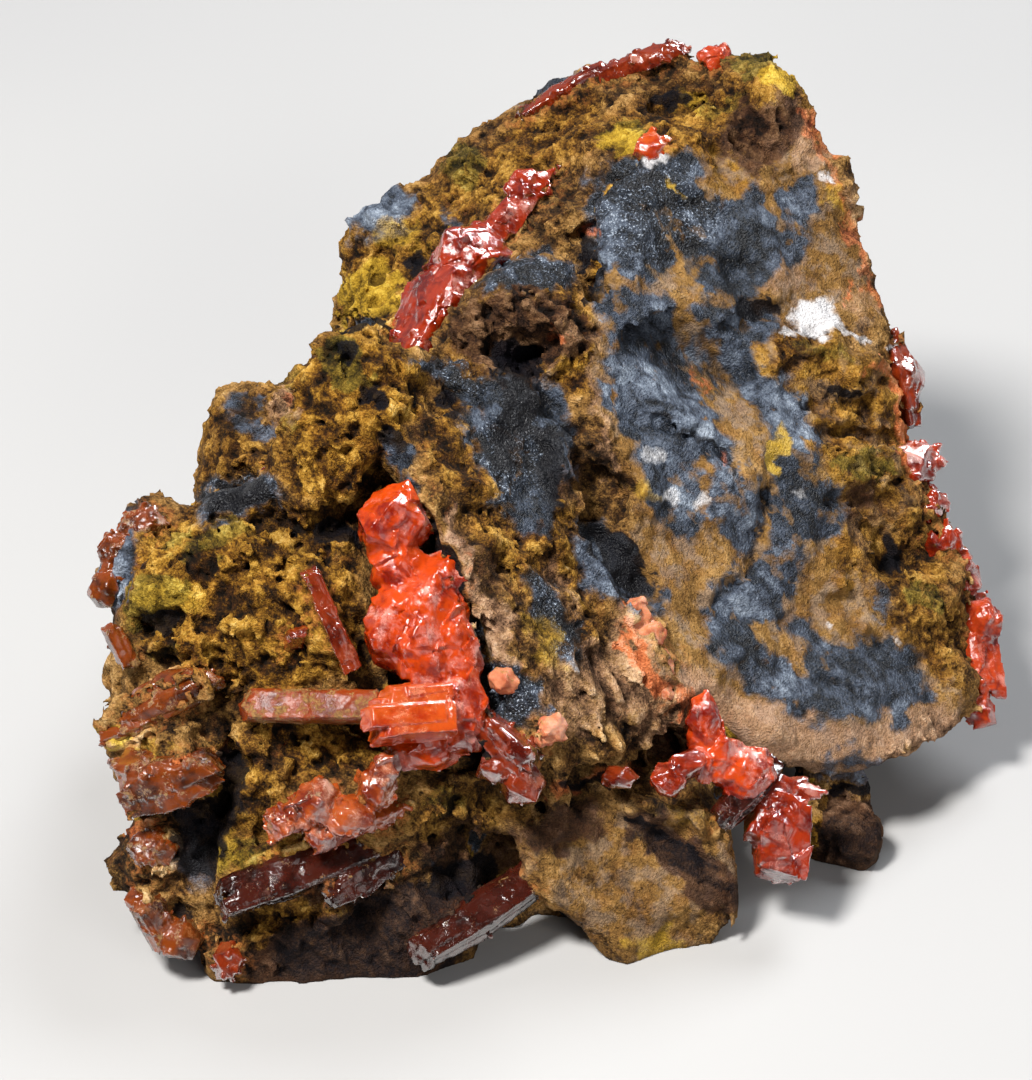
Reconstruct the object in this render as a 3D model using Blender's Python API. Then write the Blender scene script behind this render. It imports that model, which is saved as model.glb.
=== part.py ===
"""A crocoite specimen: orange-red crystals grown in a lump of gossan, the rusty rock of a lead lode.

The rock is one solid, `matrix`. Each crystal, or group of crystals that grew together, is a solid of its
own that sits in a socket of the rock, with a small gap all round. The origin is on the surface that the
specimen rests on, under the middle of the rock. +Z is up, and the long sloping face looks towards -Y.
"""

import math
import random

import bmesh
import bpy
from mathutils import Euler, Matrix, Vector, noise

# The model is built in millimetres and scaled to metres when it is placed in the scene.
METRES_PER_MM = 0.001
GAP = 0.3  # between a crystal and its socket

# How finely the rock is built, in millimetres, and how many triangles it keeps.
BLOCK_VOXEL = 0.7
ROCK_TRIANGLES = 4600

# The rock's masses, each the convex hull of a few corners (x, y, z).
MASSES = {
    # The broad face that slopes down to the right and towards the front.
    "sloping_slab": [
        (4, -0.5, 20.5), (3.5, 6, 24.3), (4, 12, 27.4), (7, 14, 28.6), (14, 20, 28.5), (16.6, 17, 25),
        (20.6, 10.4, 16.8), (23.1, 3.2, 8.5), (23.9, -0.3, 5), (21.8, -4.2, 4.2), (17, -7.5, 5), (12, -8.5, 7),
        (8.5, -8.5, 10.5), (21, 2, 2.5), (19, 12, 7), (16, 19, 16), (8, 4, 2), (13, 8, 0),
    ],
    # The plate with the sharp left edge that the front vein grew against.
    "front_ridge": [
        (-6, -4.5, 23), (-3.5, 0.5, 25), (0, 1, 24), (3, -2, 19.5), (4, -4, 16.5), (7, -6.5, 13),
        (8.5, -9.5, 10), (6, -12.3, 8.5), (2, -14, 9), (-0.5, -13, 14), (-3.5, -8.5, 20.3),
        (-5, 4, 12), (3, 2, 8), (2, -7, 7), (-2, -10, 9),
    ],
    # The spongy dome left of the vein.
    "left_dome": [
        (-20, -1, 15), (-18, -1.5, 16.5), (-15, -1.5, 17.5), (-12, -2, 18.5), (-9, -5.5, 18),
        (-6.5, -7.5, 17), (-6.5, -11, 13), (-14, -11.5, 12.5), (-19.5, -8, 12.5), (-20.5, -5, 13.5),
        (-20, -8, 10.5), (-19, 4, 11), (-16, 6, 6), (-8, 2, 16), (-18, -4, 5), (-8, -8, 8),
    ],
    # The stepped foot under the dome.
    "left_foot": [
        (-19.5, -10, 11), (-19, -12.5, 9), (-18, -14, 6.5), (-17.5, -15.5, 3.5), (-14.5, -17.3, 0),
        (-11, -18.7, -1.5), (-6.5, -18, -1.5), (-3, -16, -1), (-1, -13.5, 9), (-5.5, -14.5, 9.5),
        (-12, -14.5, 9.5), (-13.5, -11.5, 12.5), (-17, -4, -1.5), (-16, 2, 4), (-4, -6, -1.5), (0, -8, 4),
    ],
    # The squarish lump low on the right of the foot.
    "lower_block": [
        (-0.5, -13.2, 5.5), (0.3, -12.6, 7.3), (3, -12.8, 8.2), (6, -12.3, 8), (9, -11.8, 7),
        (11.3, -12.8, 4), (11, -14.8, 1.5), (9.5, -15.8, -1), (6, -17, -1), (4, -16.8, 0.3),
        (1.5, -15.8, 3.2), (9.5, -6, 5), (2, -7, 6), (10, -7, -1), (2, -8, -1),
    ],
    # The high back edge.
    "back_ridge": [
        (-9, 15.5, 18.5), (-9, 21, 19.5), (-4.5, 23, 22.5), (-2, 24.5, 24), (2, 25, 26), (4.5, 24.7, 27),
        (9, 23.7, 28.7), (12, 22.7, 29), (14, 20.5, 28), (12, 17, 27), (6.5, 17, 26.6), (3.4, 14.4, 25.2),
        (2, 9.5, 22), (-4.5, 7.5, 19.3), (-10, 23, 11), (-4, 26, 7), (5, 26.5, 5), (12, 24, 9),
        (-8, 19, -1.5), (10, 18, -1.5),
    ],
    # The low shoulder behind the knob.
    "rear_shoulder": [
        (-16, 5.5, 14), (-15.5, 8.5, 15.5), (-13.5, 10, 16), (-10.5, 12, 17.5), (-12, 2, 16.5),
        (-18, 12, 5), (-14, 17, 7), (-17, 5, 3), (-8, 14, 3), (-4, 6, 18), (-8, 4, 18),
    ],
    # What all of these stand on.
    "heart": [
        (-16, -12, -1.5), (-4, -15, -1.5), (8, -12, -1.5), (12, -2, -1.5), (13, 12, -1.5), (4, 22, -1.5),
        (-8, 21, -1.5), (-16, 12, -1.5), (-17.5, 0, -1.5), (-12, -4, 13), (0, -4, 15), (8, 4, 17),
        (6, 18, 21), (-6, 16, 15), (-12, 8, 11),
    ],
}

# Rounded lumps on the masses: centre and radius.
LUMPS = [
    ((-8.1, -1.8, 22.0), 3.5),  # the knob
    ((-9.6, -3.4, 20.2), 2.8),
    ((-7.4, -0.8, 24.0), 2.6),
    ((-10.3, -6.6, 14.2), 4.3),  # the middle of the dome
    ((-16.3, -7.2, 14.8), 2.6),  # its left lobe
    ((-13.0, -4.6, 17.2), 2.6),
    ((-0.4, 5.3, 23.0), 3.4),  # the mound behind the ridge
    ((2.2, 2.0, 20.6), 2.0),
    ((11.0, -5.4, 7.0), 3.0),
    ((-3.0, 4.8, 21.6), 2.4),
    ((1.2, 6.6, 23.2), 2.2),
    ((17.0, -7.9, 1.3), 1.8),  # the foot under the sloping slab
    ((15.2, -5.6, 1.0), 2.4),
    ((-19.0, -3.4, 14.6), 2.0),
    ((-17.6, -14.0, 4.6), 2.0),
    ((-13.6, 8.6, 14.6), 2.6),
    ((-6.8, 15.0, 17.4), 2.5),
    ((-6.8, 10.0, 18.6), 2.4),
    ((12.4, 20.4, 27.0), 2.6),
    ((-7.4, 20.2, 17.8), 2.2),
    ((19.2, 6.8, 11.6), 2.4),
    ((-2.0, 25.0, 15.0), 3.0),  # the lumps of the back
    ((8.0, 25.0, 13.0), 3.2),
    ((17.0, 14.0, 10.0), 3.0),
    ((-12.0, 17.0, 8.0), 3.0),
    ((-17.4, 3.0, 8.0), 2.6),
]

# Hollows, each a row of balls: centre and radius.
HOLLOWS = {
    "cleft": [
        ((3.3, -3.4, 19.2), 0.9), ((4.4, -4.2, 17.6), 1.1), ((5.6, -5.4, 16.0), 1.2), ((6.6, -6.4, 14.6), 1.0),
    ],
    "mound_cave": [((0.3, 2.2, 23.6), 1.4), ((0.5, 3.6, 22.8), 1.3)],
    "behind_mound": [
        ((-3.2, 10.4, 22.2), 1.4), ((-0.8, 10.2, 23.2), 1.6), ((1.6, 10.0, 23.6), 1.6), ((3.0, 8.6, 25.4), 1.2),
        ((2.8, 11.0, 26.0), 1.3),
    ],
    "behind_knob": [((-3.8, 3.0, 23.6), 1.2), ((-5.6, 6.0, 22.2), 1.4), ((-8.2, 6.6, 21.6), 1.5)],
    "slab_pit": [((10.8, 9.6, 23.6), 1.0), ((12.0, 10.0, 23.4), 1.1)],
    "lobe_cave": [((-16.2, -10.0, 12.8), 1.6), ((-14.4, -10.6, 12.6), 1.4)],
    "shelf_cave": [
        ((-10.5, -17.4, 5.4), 1.5), ((-8.0, -17.8, 5.6), 1.9), ((-5.4, -17.2, 6.0), 2.2),
        ((-2.8, -16.4, 6.2), 2.2), ((-0.4, -14.8, 7.2), 1.8),
    ],
    "left_caves": [((-13.8, -15.2, 8.6), 1.5), ((-14.4, -16.6, 5.8), 1.4), ((-12.4, -16.2, 6.8), 1.2)],
    "vein_foot": [((-8.6, -14.6, 11.4), 1.3), ((-6.8, -15.2, 11.6), 1.2)],
    "ridge_undercut": [
        ((1.4, -14.0, 8.3), 1.3), ((3.4, -13.2, 8.5), 1.4), ((5.6, -12.4, 8.5), 1.4), ((7.6, -11.4, 8.4), 1.4),
    ],
    "slab_undercut": [
        ((20.6, -3.8, 0.6), 3.7), ((23.0, 1.5, 0.0), 3.6), ((13.6, -11.0, 1.0), 2.5), ((17.0, -9.6, 3.4), 1.6),
    ],
    "back_cave": [((0.0, 27.0, 19.0), 2.0), ((2.6, 27.2, 18.0), 1.8)],
}

# A prism's section, in halves of its width and thickness, and how steeply its tip is cut.
PRISM_SECTION = [(1, 0.6), (0.66, 1), (-1, 0.92), (-1, -0.6), (-0.66, -1), (1, -0.92)]
TIP_SLANT = 0.45
GRAIN_CORNERS = 12

# The rock's roughness: wavelength and height, in millimetres.
BROAD_LUMPS = (6.5, 0.9)
SMALL_LUMPS = (2.3, 0.55)
PITS = (1.9, 0.5)

# Crystals. A prism is a rod with flat faces: root, tip, width, thickness, turn about its length in degrees.
# A chunk is a stubby faceted grain: centre, the three half-lengths, turn about Z and X in degrees, seed.
CRYSTALS = {
    "front_vein": [
        ("chunk", (-5.7, -7.0, 20.2), (1.5, 1.5, 2.0), (0, -25), 3),
        ("chunk", (-5.6, -8.4, 18.2), (1.5, 1.4, 1.5), (20, -25), 4),
        ("chunk", (-4.4, -9.9, 17.2), (2.5, 1.8, 2.0), (0, -35), 5),
        ("chunk", (-3.4, -8.8, 17.8), (1.6, 1.4, 1.6), (30, -35), 6),
        ("chunk", (-4.6, -11.4, 15.8), (1.8, 1.6, 1.9), (0, -35), 7),
        ("chunk", (-6.2, -10.9, 16.2), (1.4, 1.4, 2.1), (0, -20), 22),
        ("chunk", (-3.0, -11.4, 15.3), (1.5, 1.5, 2.4), (0, -30), 8),
        ("chunk", (-2.7, -13.0, 13.2), (1.7, 1.5, 2.3), (10, -30), 9),
        ("chunk", (-4.4, -13.8, 11.3), (2.0, 1.3, 1.2), (0, -30), 10),
        ("prism", (-3.2, -13.6, 13.5), (-7.4, -14.2, 13.6), 2.8, 2.2, 35),
        ("prism", (-6.6, -13.0, 13.3), (-13.4, -12.5, 13.0), 1.5, 1.3, 35),
        ("prism", (-1.6, -12.8, 12.4), (1.2, -15.0, 10.8), 2.2, 1.6, 30),
        ("chunk", (0.3, -14.8, 10.1), (1.3, 1.1, 1.2), (0, -20), 23),
        ("chunk", (-0.9, -14.5, 10.9), (1.3, 1.0, 1.0), (30, -20), 24),
    ],
    "slender_prism": [("prism", (-7.8, -12.2, 14.9), (-10.0, -9.4, 19.1), 1.0, 0.8, 20)],
    "chip": [("prism", (-10.8, -10.3, 14.8), (-10.4, -11.3, 16.7), 0.9, 0.7, 10)],
    "left_diagonal": [("prism", (-20.2, -10.8, 10.6), (-13.9, -11.3, 14.3), 2.3, 1.9, 30)],
    "left_upright": [("prism", (-18.7, -9.5, 13.1), (-19.8, -8.2, 14.9), 0.9, 0.8, 10)],
    "left_lower_block": [
        ("prism", (-18.9, -13.9, 8.7), (-14.1, -14.1, 10.8), 2.8, 2.5, 20),
        ("chunk", (-18.1, -13.4, 9.7), (1.7, 1.4, 1.2), (0, -20), 14),
    ],
    "left_edge_upper": [
        ("chunk", (-17.6, -15.0, 6.3), (1.4, 1.2, 0.9), (10, 0), 15),
        ("prism", (-16.9, -14.6, 6.6), (-18.6, -15.3, 5.9), 1.3, 1.2, 20),
    ],
    "left_edge_lower": [
        ("prism", (-16.8, -16.9, 1.9), (-18.4, -15.9, 4.5), 1.5, 1.3, 25),
        ("chunk", (-16.4, -16.9, 2.2), (1.2, 1.2, 1.2), (0, 0), 16),
    ],
    "left_foot_grain": [("chunk", (-14.0, -17.9, 1.6), (0.9, 0.8, 1.1), (0, -20), 17)],
    "shelf_druse": [
        ("prism", (-8.6, -14.2, 8.6), (-12.0, -16.4, 8.8), 1.5, 1.3, 40),
        ("chunk", (-9.6, -15.6, 9.6), (1.4, 1.2, 1.2), (20, 0), 18),
        ("chunk", (-8.2, -15.8, 9.0), (1.6, 1.3, 1.2), (0, 10), 19),
        ("chunk", (-6.8, -15.2, 10.2), (1.2, 1.1, 1.2), (40, 0), 20),
        ("chunk", (-6.3, -15.0, 11.0), (0.9, 0.8, 1.0), (10, 20), 21),
        ("prism", (-5.6, -14.2, 8.2), (-10.0, -16.6, 7.9), 1.2, 1.0, 10),
    ],
    "lower_prism": [
        ("prism", (-7.0, -14.6, 6.2), (-14.6, -17.9, 5.2), 1.9, 1.6, 30),
        ("prism", (-5.6, -14.6, 5.6), (-9.4, -17.4, 4.9), 1.4, 1.2, 60),
    ],
    "lower_right_prism": [("prism", (1.6, -13.6, 3.9), (-5.0, -18.2, 1.9), 1.9, 1.6, 20)],
    "ridge_bead": [("chunk", (-0.5, -12.3, 14.4), (0.8, 0.7, 0.7), (0, 0), 25)],
    "ridge_grain": [("chunk", (1.7, -13.5, 12.5), (0.8, 0.7, 0.7), (20, 0), 26)],
    "cleft_crust": [
        ("chunk", (5.8, -6.5, 13.9), (1.1, 0.8, 1.1), (0, -30), 27),
        ("chunk", (6.6, -7.2, 13.2), (1.0, 0.7, 0.9), (30, -30), 28),
        ("prism", (6.4, -7.0, 13.4), (7.6, -9.2, 10.8), 1.1, 0.8, 15),
    ],
    "gap_bead": [("chunk", (7.4, -12.9, 8.7), (1.0, 0.9, 1.0), (0, -10), 30)],
    "gap_sliver": [("chunk", (5.0, -12.8, 8.9), (1.1, 0.7, 0.6), (0, 0), 31)],
    "right_foot": [
        ("chunk", (9.6, -10.6, 9.2), (1.5, 1.3, 1.6), (20, -20), 32),
        ("chunk", (10.8, -11.3, 7.9), (1.6, 1.3, 1.1), (0, -10), 33),
        ("prism", (12.8, -9.6, 7.4), (9.8, -13.0, 6.3), 1.4, 1.2, 20),
        ("prism", (13.6, -9.6, 6.6), (11.9, -13.2, 4.6), 1.9, 1.6, 40),
        ("prism", (14.0, -10.0, 6.2), (12.9, -13.9, 2.9), 2.6, 2.2, 15),
        ("prism", (13.2, -9.4, 6.0), (15.2, -10.6, 5.6), 1.0, 0.9, 0),
    ],
    "rim_upper": [
        ("chunk", (20.2, 7.3, 13.4), (1.5, 1.5, 1.3), (0, 30), 35),
        ("chunk", (20.9, 5.8, 11.9), (1.3, 1.4, 1.3), (30, 0), 36),
        ("chunk", (21.7, 4.8, 10.6), (1.2, 1.2, 1.2), (10, 30), 37),
        ("prism", (19.6, 6.8, 12.8), (21.7, 8.4, 13.8), 1.5, 1.3, 20),
    ],
    "rim_lower": [
        ("chunk", (22.9, 4.4, 8.3), (1.1, 1.3, 1.2), (0, 20), 38),
        ("chunk", (23.7, 2.9, 6.9), (1.1, 1.4, 1.4), (20, 0), 39),
        ("prism", (23.2, 4.2, 7.6), (23.9, -0.3, 4.0), 1.8, 1.6, 30),
        ("chunk", (23.7, -0.6, 3.8), (0.9, 1.0, 0.9), (40, 0), 41),
    ],
    "rim_blade": [
        ("prism", (20.1, 9.4, 14.4), (18.9, 13.1, 18.3), 2.1, 1.5, 60),
        ("chunk", (19.9, 11.2, 16.2), (1.3, 1.4, 1.5), (0, 30), 42),
    ],
    "upper_left_blade": [
        ("prism", (-5.3, 8.6, 19.8), (-1.2, 14.2, 23.2), 2.5, 2.0, 25),
        ("prism", (-3.0, 12.0, 21.6), (1.6, 17.6, 25.2), 1.8, 1.5, 50),
        ("chunk", (-2.4, 13.0, 22.9), (1.6, 1.6, 1.3), (20, 10), 43),
        ("chunk", (0.4, 16.2, 24.7), (1.2, 1.2, 1.0), (0, 20), 44),
    ],
    "top_strip": [
        ("prism", (0.2, 22.6, 25.2), (4.8, 23.9, 27.6), 1.1, 0.9, 10),
        ("prism", (4.4, 23.6, 27.0), (9.0, 23.8, 28.9), 1.4, 1.1, 30),
    ],
    "top_grain": [("chunk", (10.4, 22.6, 28.6), (1.0, 0.9, 0.9), (0, 0), 46)],
    "slab_top_grain": [("chunk", (6.8, 14.3, 28.2), (1.0, 0.9, 0.9), (30, 0), 47)],
    "knob_foot_grain": [("chunk", (-11.9, -3.2, 19.8), (0.7, 0.6, 0.8), (0, 0), 48)],
    "left_top_grains": [
        ("chunk", (-18.3, -2.2, 16.4), (1.4, 1.1, 0.9), (20, 0), 49),
        ("chunk", (-19.7, -3.4, 15.7), (1.1, 1.0, 1.0), (0, 20), 50),
        ("chunk", (-20.2, -5.2, 14.7), (0.9, 1.0, 1.0), (10, 0), 51),
        ("prism", (-18.3, -2.2, 16.1), (-20.1, -5.2, 14.6), 1.5, 1.2, 20),
    ],
    "back_blade": [
        ("prism", (0.4, 23.6, 18.8), (4.4, 27.4, 16.4), 2.0, 1.7, 20),
        ("prism", (1.6, 23.8, 17.6), (0.4, 28.0, 19.6), 1.3, 1.1, 40),
    ],
}

ROCK_FINISH = {"color": (0.27, 0.17, 0.08, 1.0), "roughness": 0.85}
CROCOITE_FINISH = {"color": (0.62, 0.07, 0.01, 1.0), "roughness": 0.22}
FINISHES = {"gossan": ROCK_FINISH, "crocoite": CROCOITE_FINISH}


def clear_scene():
    """Removes every object of the scene that the script was started in."""
    for obj in list(bpy.data.objects):
        bpy.data.objects.remove(obj)


def mesh_of(bm, name):
    """The bmesh as a new mesh, which frees the bmesh."""
    mesh = bpy.data.meshes.new(name)
    bm.to_mesh(mesh)
    bm.free()
    return mesh


def hull_of(points, grow=0.0):
    """The convex hull of the points as a bmesh, its faces moved out by about grow."""
    bm = bmesh.new()
    for point in points:
        bm.verts.new(point)
    made = bmesh.ops.convex_hull(bm, input=bm.verts)
    inside = {v for v in made["geom_interior"] + made["geom_unused"] if isinstance(v, bmesh.types.BMVert)}
    bmesh.ops.delete(bm, geom=list(inside), context="VERTS")
    bmesh.ops.recalc_face_normals(bm, faces=bm.faces)
    if grow:
        bm.normal_update()
        moves = [(v, v.normal * grow * v.calc_shell_factor()) for v in bm.verts]
        for vert, move in moves:
            vert.co += move
    return bm


def ball(centre, radius):
    """A round lump as a bmesh."""
    bm = bmesh.new()
    bmesh.ops.create_icosphere(bm, subdivisions=3, radius=radius, matrix=Matrix.Translation(centre))
    return bm


def joined(parts, name):
    """The bmeshes as one mesh of loose shells."""
    whole = bmesh.new()
    for part in parts:
        piece = mesh_of(part, name)
        whole.from_mesh(piece)
        bpy.data.meshes.remove(piece)
    return mesh_of(whole, name)


def modified(mesh, kind, **settings):
    """The mesh that one modifier makes of this one."""
    holder = bpy.data.objects.new("holder", mesh)
    bpy.context.scene.collection.objects.link(holder)
    modifier = holder.modifiers.new(kind, kind)
    for setting, value in settings.items():
        setattr(modifier, setting, value)
    graph = bpy.context.evaluated_depsgraph_get()
    made = bpy.data.meshes.new_from_object(holder.evaluated_get(graph))
    bpy.data.objects.remove(holder)
    return made


def combined(mesh, tool, operation):
    """The union or the difference of two closed meshes."""
    other = bpy.data.objects.new("tool", tool)
    bpy.context.scene.collection.objects.link(other)
    made = modified(mesh, "BOOLEAN", object=other, operation=operation, solver="EXACT")
    bpy.data.objects.remove(other)
    return made


def largest_body(mesh):
    """The mesh without the small loose bodies that a cut leaves."""
    bm = bmesh.new()
    bm.from_mesh(mesh)
    seen, bodies = set(), []
    for start in bm.verts:
        if start in seen:
            continue
        body, edge_of_search = [], [start]
        seen.add(start)
        while edge_of_search:
            vert = edge_of_search.pop()
            body.append(vert)
            for edge in vert.link_edges:
                other = edge.other_vert(vert)
                if other not in seen:
                    seen.add(other)
                    edge_of_search.append(other)
        bodies.append(body)
    bodies.sort(key=len)
    for body in bodies[:-1]:
        bmesh.ops.delete(bm, geom=body, context="VERTS")
    return mesh_of(bm, mesh.name)


def triangulated(mesh):
    bm = bmesh.new()
    bm.from_mesh(mesh)
    bmesh.ops.triangulate(bm, faces=bm.faces)
    return mesh_of(bm, mesh.name)


def height_of_rock(point):
    """How far the rock's surface stands out at a point of its plain shape, in millimetres."""
    wavelength, height = BROAD_LUMPS
    out = height * noise.fractal(point / wavelength, 1.0, 2.0, 2)
    wavelength, height = SMALL_LUMPS
    out += height * noise.fractal(point / wavelength + Vector((7, 3, 5)), 0.8, 2.0, 2)
    spacing, depth = PITS
    nearest = noise.voronoi(point / spacing)[0][0]
    return out - depth * max(0.0, 0.45 - nearest)


def roughened(mesh):
    """The rock's lumps and pits, as moves of its vertices along their normals."""
    bm = bmesh.new()
    bm.from_mesh(mesh)
    bm.normal_update()
    moves = [(v, v.normal * height_of_rock(v.co)) for v in bm.verts]
    for vert, move in moves:
        vert.co += move
    return mesh_of(bm, mesh.name)


def cut_flat(mesh):
    """The mesh above the plane z = 0, which the rock stands on."""
    bm = bmesh.new()
    below = Matrix.Translation((0, 0, -20)) @ Matrix.Diagonal((100, 100, 40, 1))
    bmesh.ops.create_cube(bm, size=1, matrix=below)
    return combined(mesh, mesh_of(bm, "ground"), "DIFFERENCE")


def rock_mesh():
    """The rock without its sockets, in millimetres."""
    masses = [hull_of(corners) for corners in MASSES.values()]
    lumps = [ball(centre, radius) for centre, radius in LUMPS]
    whole = modified(joined(masses + lumps, "rock"), "REMESH", mode="VOXEL", voxel_size=BLOCK_VOXEL)
    balls = [ball(centre, radius) for row in HOLLOWS.values() for centre, radius in row]
    hollows = modified(joined(balls, "hollows"), "REMESH", mode="VOXEL", voxel_size=BLOCK_VOXEL)
    carved = combined(whole, hollows, "DIFFERENCE")
    even = modified(carved, "REMESH", mode="VOXEL", voxel_size=BLOCK_VOXEL)
    rough = triangulated(roughened(even))
    light = modified(rough, "DECIMATE", ratio=ROCK_TRIANGLES / len(rough.polygons))
    return largest_body(cut_flat(light))


def frame_along(start, end, turn):
    """A matrix whose Z runs from start to end, turned about it by so many degrees."""
    along = (end - start).normalized()
    level = along.cross(Vector((0, 0, 1))).normalized()
    up = level.cross(along)
    axes = Matrix((level, up, along)).transposed().to_4x4()
    return Matrix.Translation(start) @ axes @ Matrix.Rotation(math.radians(turn), 4, "Z")


def prism(root, tip, width, thickness, turn, grow=0.0):
    """A rod of four broad sides and two narrow ones, whose tip is cut on a slant."""
    root, tip = Vector(root), Vector(tip)
    frame = frame_along(root, tip, turn)
    length = (tip - root).length
    half_w, half_t = width / 2, thickness / 2
    points = []
    for across, deep in PRISM_SECTION:
        x, y = across * half_w, deep * half_t
        points.append(frame @ Vector((x, y, 0)))
        points.append(frame @ Vector((x, y, length - TIP_SLANT * (y + half_t) - 0.15 * (x + half_w))))
    return hull_of(points, grow)


def chunk(centre, radii, turns, seed, grow=0.0):
    """A stubby grain with about twenty flat faces."""
    draw = random.Random(seed)
    about_z, about_x = (math.radians(turn) for turn in turns)
    turned = Euler((about_x, 0, about_z)).to_matrix()
    points = []
    for number in range(GRAIN_CORNERS):
        # Points spread evenly over a ball by the golden angle, then moved a little.
        height = 1 - 2 * (number + 0.5) / GRAIN_CORNERS
        angle = number * math.pi * (3 - math.sqrt(5))
        ring = math.sqrt(1 - height * height)
        point = Vector((ring * math.cos(angle), ring * math.sin(angle), height)) * draw.uniform(0.86, 1.1)
        points.append(Vector(centre) + turned @ Vector(a * b for a, b in zip(point, radii)))
    return hull_of(points, grow)


SHAPES = {"prism": prism, "chunk": chunk}


def group_mesh(name, parts, grow=0.0):
    """A group of crystals as one closed mesh, its faces moved out by grow."""
    shells = [mesh_of(SHAPES[shape](*sizes, grow=grow), name) for shape, *sizes in parts]
    whole = shells[0]
    for shell in shells[1:]:
        whole = combined(whole, shell, "UNION")
    return whole


def placed(name, mesh, material):
    """The mesh as an object of the scene, scaled from millimetres to metres."""
    mesh.name = name
    mesh.transform(Matrix.Scale(METRES_PER_MM, 4))
    mesh.materials.clear()
    mesh.materials.append(material)
    obj = bpy.data.objects.new(name, mesh)
    bpy.context.scene.collection.objects.link(obj)
    return obj


def finish(name, color, roughness):
    material = bpy.data.materials.new(name)
    material.use_nodes = True
    shader = material.node_tree.nodes["Principled BSDF"]
    shader.inputs["Base Color"].default_value = color
    shader.inputs["Roughness"].default_value = roughness
    shader.inputs["Metallic"].default_value = 0.0
    return material


def main():
    clear_scene()
    finishes = {name: finish(name, **values) for name, values in FINISHES.items()}
    rock = rock_mesh()
    for name, parts in CRYSTALS.items():
        rock = combined(rock, group_mesh(name, parts, GAP), "DIFFERENCE")
    placed("matrix", largest_body(triangulated(rock)), finishes["gossan"])
    for name, parts in CRYSTALS.items():
        placed(name, group_mesh(name, parts), finishes["crocoite"])


main()
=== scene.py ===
"""The looks of the crocoite specimen: a rusty, spongy gossan with a coat of manganese oxide on its broad
face, and orange-red crocoite in its cracks. The shapes are built in millimetres, around the CAD model's
solids: the crystals first, then the rock around them."""

import math

import bmesh
import bpy
import numpy as np
import openvdb as vdb
from mathutils import Euler, Matrix, Vector
from mathutils.bvhtree import BVHTree


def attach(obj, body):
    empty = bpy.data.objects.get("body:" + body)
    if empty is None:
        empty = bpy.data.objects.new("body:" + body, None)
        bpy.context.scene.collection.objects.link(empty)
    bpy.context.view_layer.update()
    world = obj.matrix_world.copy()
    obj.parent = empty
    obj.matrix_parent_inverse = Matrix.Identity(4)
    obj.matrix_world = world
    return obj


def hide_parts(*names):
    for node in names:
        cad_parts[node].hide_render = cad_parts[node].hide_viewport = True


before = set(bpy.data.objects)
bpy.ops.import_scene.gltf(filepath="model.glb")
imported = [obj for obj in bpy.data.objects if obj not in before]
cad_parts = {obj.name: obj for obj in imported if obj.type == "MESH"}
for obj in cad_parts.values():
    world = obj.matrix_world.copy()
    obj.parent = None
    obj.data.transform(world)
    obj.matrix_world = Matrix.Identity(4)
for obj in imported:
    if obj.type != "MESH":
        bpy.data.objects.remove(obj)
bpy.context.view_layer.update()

# --------------------------------------------------------------------------------------------- sizes, in mm
MM = 0.001
ROCK_STEP = 0.16  # the grid that the rock's surface is cut from
CRYSTAL_STEP = 0.075  # the grid of the crystals
LOW = np.array([-22.4, -20.6, -1.1])
HIGH = np.array([26.6, 30.2, 31.4])
BAND = 1.0  # how far from the plain surface the roughness may reach
CLOSING = 0.3  # the sockets' gap, which is filled
HIGHEST = 0.34  # how far the roughness may stand out
BLEND = 0.35  # how softly lumps and hollows run into the rock
SEAT = 0.1  # how deep the rock stays under a crystal's skin
SOCKET = 0.12  # how closely the plain rock runs around the CAD crystals
COVERED = 0.1  # how far inside a CAD crystal the rock is kept out
BESIDE = 0.55  # within this distance of a crystal the rock's heights are lower
LOWERED = 0.35  # the share of them that is left at the crystal
FLAT_EDGE = 0.7  # the height over which the relief grows up from the flat that the rock stands on
THICKEST = 0.45  # crumbs on a crystal are thinner than this
CRYSTAL_SEED, FORM_SEED = 500, 77
ROCK_PIECES = 5
ROCK_TRIANGLES = 640000  # how many of them the whole rock keeps

# The view that the patches of colour are laid out in, in its own pixels (1032 x 1080).
ELEVATION = math.radians(35.0)
DISTANCE = 260.0
PIXEL = 0.05
CENTRE = (516.0, 540.0)
PICTURE_HEIGHT = 1080
SENSOR = 36.0
TARGET = np.array([0.0, 0.0, 14.0])
FORWARD = np.array([0.0, math.cos(ELEVATION), -math.sin(ELEVATION)])
RIGHT = np.array([1.0, 0.0, 0.0])
UP = np.array([0.0, math.sin(ELEVATION), math.cos(ELEVATION)])


# -------------------------------------------------------------------------------------------------- camera
def camera():
    data = bpy.data.cameras.new("camera")
    data.sensor_width = SENSOR
    data.lens = SENSOR * DISTANCE / (PICTURE_HEIGHT * PIXEL)
    data.clip_start, data.clip_end = 0.01, 10.0
    obj = bpy.data.objects.new("camera", data)
    bpy.context.scene.collection.objects.link(obj)
    place = (TARGET - FORWARD * DISTANCE) * MM
    axes = Matrix((tuple(RIGHT), tuple(UP), tuple(-FORWARD))).transposed().to_4x4()
    obj.matrix_world = Matrix.Translation(place) @ axes
    bpy.context.scene.camera = obj


def to_view(points):
    """Where points fall in the layout view: across and down in pixels, and how far behind the target."""
    offset = points - TARGET
    depth = offset @ FORWARD
    scale = PIXEL * (DISTANCE + depth) / DISTANCE
    return CENTRE[0] + offset @ RIGHT / scale, CENTRE[1] - offset @ UP / scale, depth


# --------------------------------------------------------------------------------------------------- noise
OCTAVE = 0.2  # how far the wavelengths of soft noise spread around the one that is asked for
DOME = 0.75  # how far a cell's dome reaches, in cell sizes


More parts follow.
